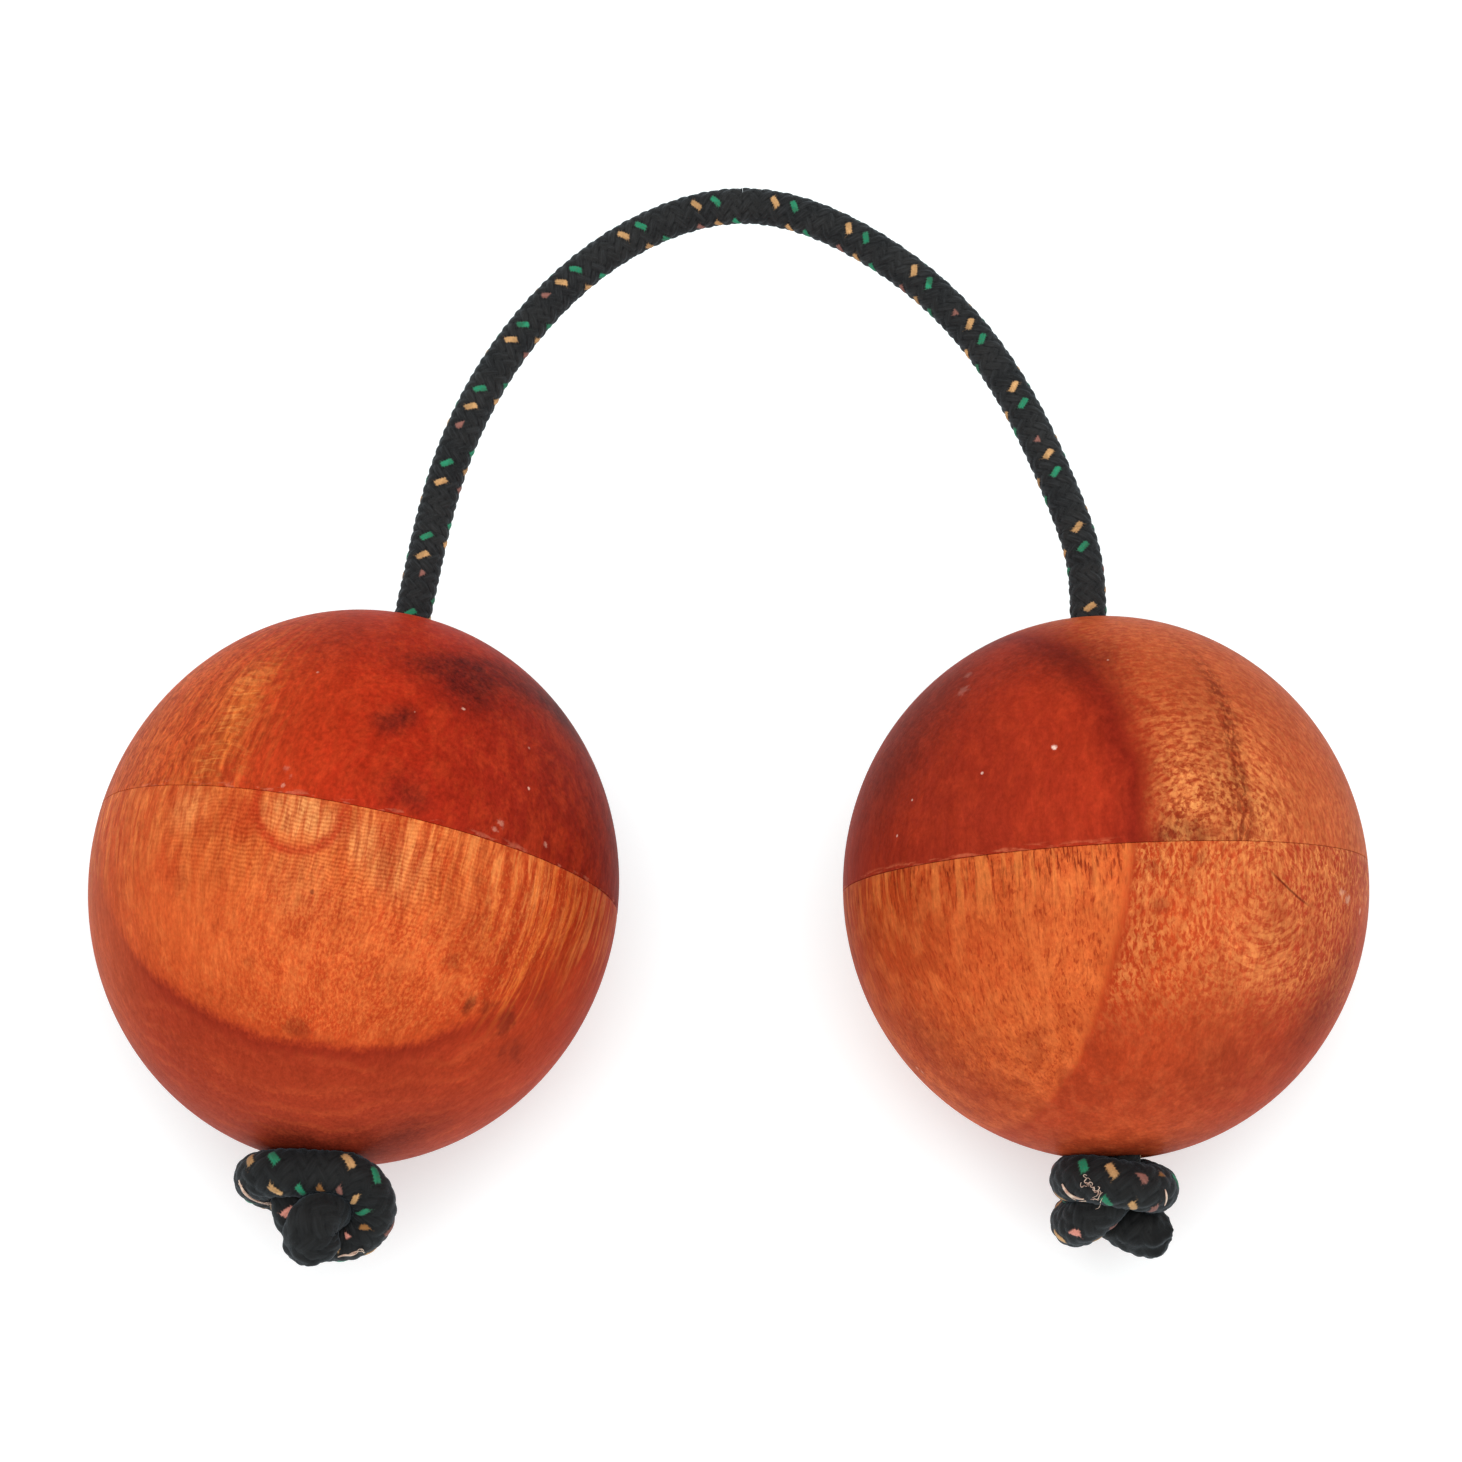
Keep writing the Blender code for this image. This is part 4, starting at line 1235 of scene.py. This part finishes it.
def wood_right_upper():
    m = wood_base("wood_right_upper")
    n, c = plane_of("right", (1075, 660), (1122, 740), (1138, 838))
    d = m.math("SUBTRACT", m.vec("DOT_PRODUCT", m.p, n), c)
    d = m.math("ADD", d, m.math("MULTIPLY", m.math("SUBTRACT", m.broad, 0.5), 0.10))
    d = m.math("ADD", d, m.math("MULTIPLY", m.math("SUBTRACT", m.grain, 0.5), 0.06))
    colour = m.ramp(
        m.span(d, -0.8, 0.8, smooth=False),
        [
            (0.05, srgb(132, 42, 28)),
            (0.30, srgb(153, 45, 26)),
            (0.43, srgb(164, 48, 26)),
            (0.495, srgb(134, 35, 21)),
            (0.535, srgb(158, 52, 28)),
            (0.60, srgb(174, 66, 35)),
            (0.70, srgb(188, 82, 45)),
            (0.90, srgb(182, 80, 46)),
        ],
        "LINEAR",
    )
    right = m.span(d, 0.01, 0.16)
    fine = rows(m, "right", 1212, 860, 0.7)
    middle = m.span(m.vec("DISTANCE", m.p, tuple(seen_at("right", 1215, 775))), 0.5, 0.12, 0.3, 1.0)
    colour = blend_in(m, colour, product(m, right, fine, middle), 0.4, srgb(232, 140, 78))
    # short strokes bowed over a place at the seam, palest beside it
    stroke = arcs(m, "right", 1212, 860, 54.0, 26.0, low=0.4, high=0.66)
    colour = blend_in(m, colour, product(m, right, stroke, middle), 0.5, srgb(236, 146, 82))
    colour = blend_in(m, colour, product(m, right, m.span(stroke, 0.35, 0.0), middle), 0.4, srgb(148, 52, 25))
    block = m.along(50.0, 36.0, 4.0, 0.62, 0.3)
    knurl = product(m, right, m.span(m.vec("DISTANCE", m.p, tuple(seen_at("right", 1215, 818))), 0.42, 0.06), m.span(m.along(13.0, 10.0, 3.0, 0.6), 0.36, 0.58, 0.35, 1.0))
    colour = blend_in(m, colour, product(m, knurl, m.span(block, 0.46, 0.62)), 0.78, srgb(248, 168, 96))
    colour = blend_in(m, colour, product(m, knurl, m.span(block, 0.5, 0.38)), 0.66, srgb(136, 46, 22))
    sides = product(m, right, m.span(m.z, 0.4, 0.06))
    colour = blend_in(m, colour, product(m, sides, m.span(block, 0.42, 0.66)), 0.26, srgb(236, 146, 82))
    vein = product(m, mark(m, "right", [(1196, 660), (1232, 745), (1242, 832)], 1.7), m.span(m.z, 0.95, 0.6))
    colour = blend_in(m, colour, product(m, vein, m.span(m.along(60.0, 16.0), 0.42, 0.56)), 0.6, srgb(104, 32, 16))
    shade = product(m, mark(m, "right", [(1180, 670), (1215, 745), (1228, 832)], 4.5), m.span(m.z, 0.9, 0.5))
    colour = blend_in(m, colour, shade, 0.28, srgb(120, 40, 20))
    soft = m.along(20.0, 2.4, 4.0, 0.6)
    colour = blend_in(m, colour, product(m, m.span(soft, 0.42, 0.64), m.span(d, 0.0, -0.1)), 0.2, srgb(192, 66, 34))
    # dark streaks in the wood; the three wide patches toward the upper left edge are painted shade, where less light
    # falls
    streak = stains(m, "right", [(1180, 828, 2.4, 0.4), (1200, 838, 2.0, 0.45), (1050, 655, 6.0, 0.36), (1088, 668, 5.0, 0.36), (1120, 700, 4.0, 0.2), (1165, 838, 1.6, 0.45), (955, 680, 10.0, 0.34), (910, 725, 10.0, 0.34), (882, 775, 9.0, 0.3)], 0.55)
    colour = m.mix(streak, colour, srgb(84, 28, 18))
    dust = spots(m, "right", [(1054, 747, 0.42, 1.0), (982, 773, 0.22, 0.7), (964, 690, 1.0, 0.1), (968, 675, 0.7, 0.1), (912, 800, 0.2, 0.5), (1108, 660, 0.22, 0.4), (897, 836, 0.2, 0.5)], 2.0, 40.0)
    colour = m.mix(dust, colour, srgb(240, 205, 190))
    edge = product(m, m.span(m.z, 0.062, 0.042), m.span(m.skin(7.0, 40.0, 4.0, 0.6), 0.5, 0.62), m.span(d, 0.0, -0.1))
    colour = blend_in(m, colour, edge, 0.5, srgb(206, 110, 76))
    return finish_wood(m, colour, stipple=0.55)


def wood_right_lower():
    m = wood_base("wood_right_lower")
    n, c = plane_of("right", (1132, 852), (1116, 950), (1046, 1104))
    d = m.math("SUBTRACT", m.vec("DOT_PRODUCT", m.p, n), c)
    d = m.math("ADD", d, m.math("MULTIPLY", m.math("SUBTRACT", m.broad, 0.5), 0.045))
    d = m.math("ADD", d, m.math("MULTIPLY", m.math("SUBTRACT", m.speck, 0.5), 0.03))
    colour = m.ramp(
        m.span(d, -0.8, 0.8, smooth=False),
        [
            (0.08, srgb(166, 62, 27)),
            (0.25, srgb(199, 90, 43)),
            (0.40, srgb(211, 102, 50)),
            (0.488, srgb(211, 99, 48)),
            (0.508, srgb(174, 61, 28)),
            (0.62, srgb(190, 74, 35)),
            (0.80, srgb(192, 83, 45)),
            (0.93, srgb(172, 66, 40)),
        ],
        "LINEAR",
    )
    right = m.span(d, 0.0, 0.04)
    body = m.span(m.z, -0.78, -0.4)
    # pale lace on red, bowed round a place near the right edge
    inner = m.span(m.y, -0.96, -0.78, 0.25, 1.0)
    patch = m.span(m.along(12.0, 9.0, 4.0, 0.62, 0.3), 0.38, 0.6, 0.55, 1.0)
    curl = arcs(m, "right", 1262, 872, 50.0, 30.0, below=True, low=0.44, high=0.64)
    net = m.along(58.0, 38.0, 3.0, 0.62, 0.4)
    lace = m.math("MAXIMUM", m.math("MULTIPLY", curl, 0.85), m.math("MULTIPLY", m.span(net, 0.47, 0.64), 0.8))
    colour = blend_in(m, colour, product(m, right, body, inner, patch, lace), 0.62, srgb(242, 154, 86))
    colour = blend_in(m, colour, product(m, right, body, inner, m.span(net, 0.5, 0.36)), 0.42, srgb(164, 50, 24))
    ring = arcs(m, "right", 1268, 880, 40.0, 10.0, below=True)
    zone = stains(m, "right", [(1282, 945, 5.0, 1.0), (1250, 960, 4.0, 0.6)], 1.0)
    colour = blend_in(m, colour, product(m, zone, ring), 0.4, srgb(238, 150, 84))
    colour = blend_in(m, colour, product(m, zone, m.span(ring, 0.5, 0.0)), 0.36, srgb(168, 56, 27))
    colour = blend_in(m, colour, product(m, right, m.span(m.mottle, 0.5, 0.62), m.span(m.z, -0.3, -0.02)), 0.4, srgb(244, 164, 92))
    colour = blend_in(m, colour, product(m, right, m.span(m.lines, 0.5, 0.62), m.span(m.z, -0.2, 0.0)), 0.5, srgb(158, 50, 24))
    leftside = m.span(d, 0.02, -0.05)
    near = m.span(m.z, -0.3, 0.0)
    dash = m.skin(100.0, 15.0, 2.0, 0.5)
    colour = blend_in(m, colour, product(m, m.span(dash, 0.53, 0.61), leftside, near), 1.0, srgb(128, 42, 18))
    short = m.along(88.0, 26.0, 2.0, 0.5)
    colour = blend_in(m, colour, product(m, m.span(short, 0.55, 0.66), leftside), 0.8, srgb(156, 55, 25))
    grit = m.along(80.0, 50.0, 3.0, 0.62)
    colour = blend_in(m, colour, product(m, m.span(grit, 0.56, 0.4), leftside), 0.42, srgb(172, 63, 29))
    colour = blend_in(m, colour, product(m, m.span(m.skin(24.0, 3.0), 0.52, 0.38), leftside, near), 0.45, srgb(240, 142, 72))
    broadly = m.along(12.0, 9.0, 3.0, 0.6)
    colour = blend_in(m, colour, product(m, m.span(broadly, 0.46, 0.64), leftside), 0.3, srgb(230, 124, 64))
    colour = blend_in(m, colour, product(m, m.span(broadly, 0.5, 0.34), leftside), 0.2, srgb(182, 68, 32))
    # painted shade: the lower left of the ball, facing the other ball and the table, is darker
    corner_shade = stains(m, "right", [(960, 1075, 8.0, 0.62), (905, 1020, 6.0, 0.36), (1000, 1110, 6.0, 0.3), (935, 940, 5.0, 0.12)])
    colour = m.mix(corner_shade, colour, srgb(146, 54, 31))
    # painted shade: the edge facing the other ball is darker and deeper red, as it reflects less of the white room
    colour = blend_in(m, colour, m.span(m.y, 0.78, 1.0), 0.36, srgb(160, 54, 12))
    foot = m.span(m.z, -0.66, -0.94)
    colour = blend_in(m, colour, foot, 0.5, srgb(184, 76, 42))
    # redder wood low on the right of the dividing line
    low = product(m, m.span(d, 0.0, 0.03), m.span(m.z, -0.42, -0.7), m.span(m.z, -0.98, -0.86, 0.3, 1.0))
    colour = blend_in(m, colour, low, 0.6, srgb(168, 58, 31))
    streak = stains(m, "right", [(1330, 1000, 6.0, 0.5), (1300, 1040, 5.0, 0.4), (1350, 950, 4.0, 0.3), (1160, 906, 1.0, 0.5), (1200, 858, 1.2, 0.4), (1152, 866, 1.0, 0.4), (1220, 1075, 7.0, 0.25)])
    colour = m.mix(streak, colour, srgb(112, 32, 20))
    scratch = mark(m, "right", [(1270, 870), (1290, 890), (1313, 908)], 0.13, 4.6)
    colour = blend_in(m, colour, scratch, 0.75, srgb(92, 28, 14))
    chip = spots(m, "right", [(1342, 893, 0.7, 0.4), (1348, 899, 0.8, 0.5), (1360, 910, 0.5, 0.5), (917, 1068, 0.4, 0.6), (922, 1072, 0.4, 0.6)], 3.0, 44.0)
    colour = m.mix(chip, colour, srgb(228, 180, 150))
    # painted shade: dark patches on the ball where its knot presses against it
    shade_at_knot = stains(m, "right", [(1075, 1146, 4.0, 0.4), (1112, 1152, 4.5, 0.5), (1150, 1146, 4.0, 0.4)])
    colour = m.mix(shade_at_knot, colour, srgb(80, 24, 15))
    cross = m.along(10.0, 16.0, 4.0, 0.6)
    colour = blend_in(m, colour, product(m, m.span(cross, 0.44, 0.6), m.span(m.z, -0.45, -0.7)), 0.45, srgb(150, 54, 28))
    colour = blend_in(m, colour, product(m, m.span(broadly, 0.46, 0.64), m.span(m.z, -0.5, -0.75)), 0.2, srgb(212, 102, 58))
    return finish_wood(m, colour, stipple=0.55)


woods = {
    "left_shell_upper": wood_left_upper(),
    "left_shell_lower": wood_left_lower(),
    "right_shell_upper": wood_right_upper(),
    "right_shell_lower": wood_right_lower(),
}
for name, b in BALLS.items():
    at = Matrix.Translation(Vector(b["centre"] * MM)) @ axis_frame(b["axis"]).to_4x4()
    for half, profile in zip(("upper", "lower"), half_profiles(b)):
        node = f"{name}_shell_{half}"
        obj = bpy.data.objects.new(f"{name}_half_{half}", lathe(node, profile, 168))
        scene.collection.objects.link(obj)
        obj.matrix_world = at
        obj.data.materials.append(woods[node])
        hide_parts(node)
        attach(obj, f"{name}_ball")


# ---------------------------------------------------------------------------
# Seeds in the chambers: dented, wrinkled beans
# ---------------------------------------------------------------------------
def seed_material():
    m = Shade("dry_seed")
    skin = m.noise(m.coord, 420.0, 4.0, 0.6)
    spot = m.noise(m.coord, 1600.0, 3.0)
    colour = m.mix(m.span(skin, 0.3, 0.7), srgb(122, 82, 46), srgb(186, 146, 96))
    colour = m.mix(m.span(spot, 0.58, 0.7, 0.0, 0.6), colour, srgb(72, 44, 26))
    return m.out(
        Base_Color=colour,
        Roughness=m.span(skin, 0.2, 0.8, 0.45, 0.7, smooth=False),
        Normal=m.bump(spot, 0.35, 0.0002),
    )


seed_mat = seed_material()
for name in BALLS:
    for k in range(1, 13):
        node = f"{name}_seed_{k:02d}"
        source = frame["nodes"][node].data
        bm = bmesh.new()
        bm.from_mesh(source)
        bmesh.ops.remove_doubles(bm, verts=bm.verts, dist=1e-6)
        centre = sum((v.co for v in bm.verts), Vector()) / len(bm.verts)
        bmesh.ops.subdivide_edges(bm, edges=bm.edges, cuts=1, use_grid_fill=True)
        bmesh.ops.smooth_vert(bm, verts=bm.verts, factor=0.5, use_axis_x=True, use_axis_y=True, use_axis_z=True)
        for v in bm.verts:
            out = v.co - centre
            rough = noise.noise((v.co * 420) + Vector((k * 3.1, 0, 0))) * 0.05
            groove = -0.07 * math.exp(-((out.normalized().y - 0.2) / 0.16) ** 2)
            v.co = centre + out * (1.0 + rough + groove)
        mesh = bpy.data.meshes.new(f"{node}_bean")
        bm.to_mesh(mesh)
        bm.free()
        mesh.shade_smooth()
        mesh.materials.clear()
        mesh.materials.append(seed_mat)
        obj = bpy.data.objects.new(f"{name}_bean_{k:02d}", mesh)
        scene.collection.objects.link(obj)
        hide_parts(node)
        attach(obj, f"{name}_seeds")

# ---------------------------------------------------------------------------
# Stage: a white table, a white room and a wide soft light overhead
# ---------------------------------------------------------------------------
floor_mesh = bpy.data.meshes.new("table_top")
size = 3.0
floor_mesh.from_pydata([(-size, -size, 0), (size, -size, 0), (size, size, 0), (-size, size, 0)], [], [(0, 1, 2, 3)])
floor = bpy.data.objects.new("table_top", floor_mesh)
floor.location.z = -0.0003
scene.collection.objects.link(floor)
paper = Shade("white_paper")
paper_tone = paper.noise(paper.coord, 9.0, 3.0)
floor_mesh.materials.append(
    paper.out(
        Base_Color=paper.mix(paper_tone, (0.795, 0.88, 0.89), (0.815, 0.90, 0.91)),
        Roughness=0.9,
        Specular_IOR_Level=0.1,
        Emission_Color=(1.0, 1.0, 1.0),
        Emission_Strength=0.3,
    )
)

world = bpy.data.worlds.new("white_room")
scene.world = world
world.use_nodes = True
background = world.node_tree.nodes["Background"]
background.inputs["Color"].default_value = (1.0, 1.0, 1.0, 1.0)
background.inputs["Strength"].default_value = 0.66


def area(name, at, aim, width, height, power):
    data = bpy.data.lights.new(name, "AREA")
    data.shape = "RECTANGLE"
    data.size, data.size_y = width, height
    data.energy = power
    obj = bpy.data.objects.new(name, data)
    scene.collection.objects.link(obj)
    obj.location = at
    obj.rotation_euler = (Vector(aim) - Vector(at)).to_track_quat("-Z", "Y").to_euler()
    return obj


area("overhead", (0.0, -0.12, 1.05), (0.0, 0.02, 0.03), 0.9, 0.8, 7.5)
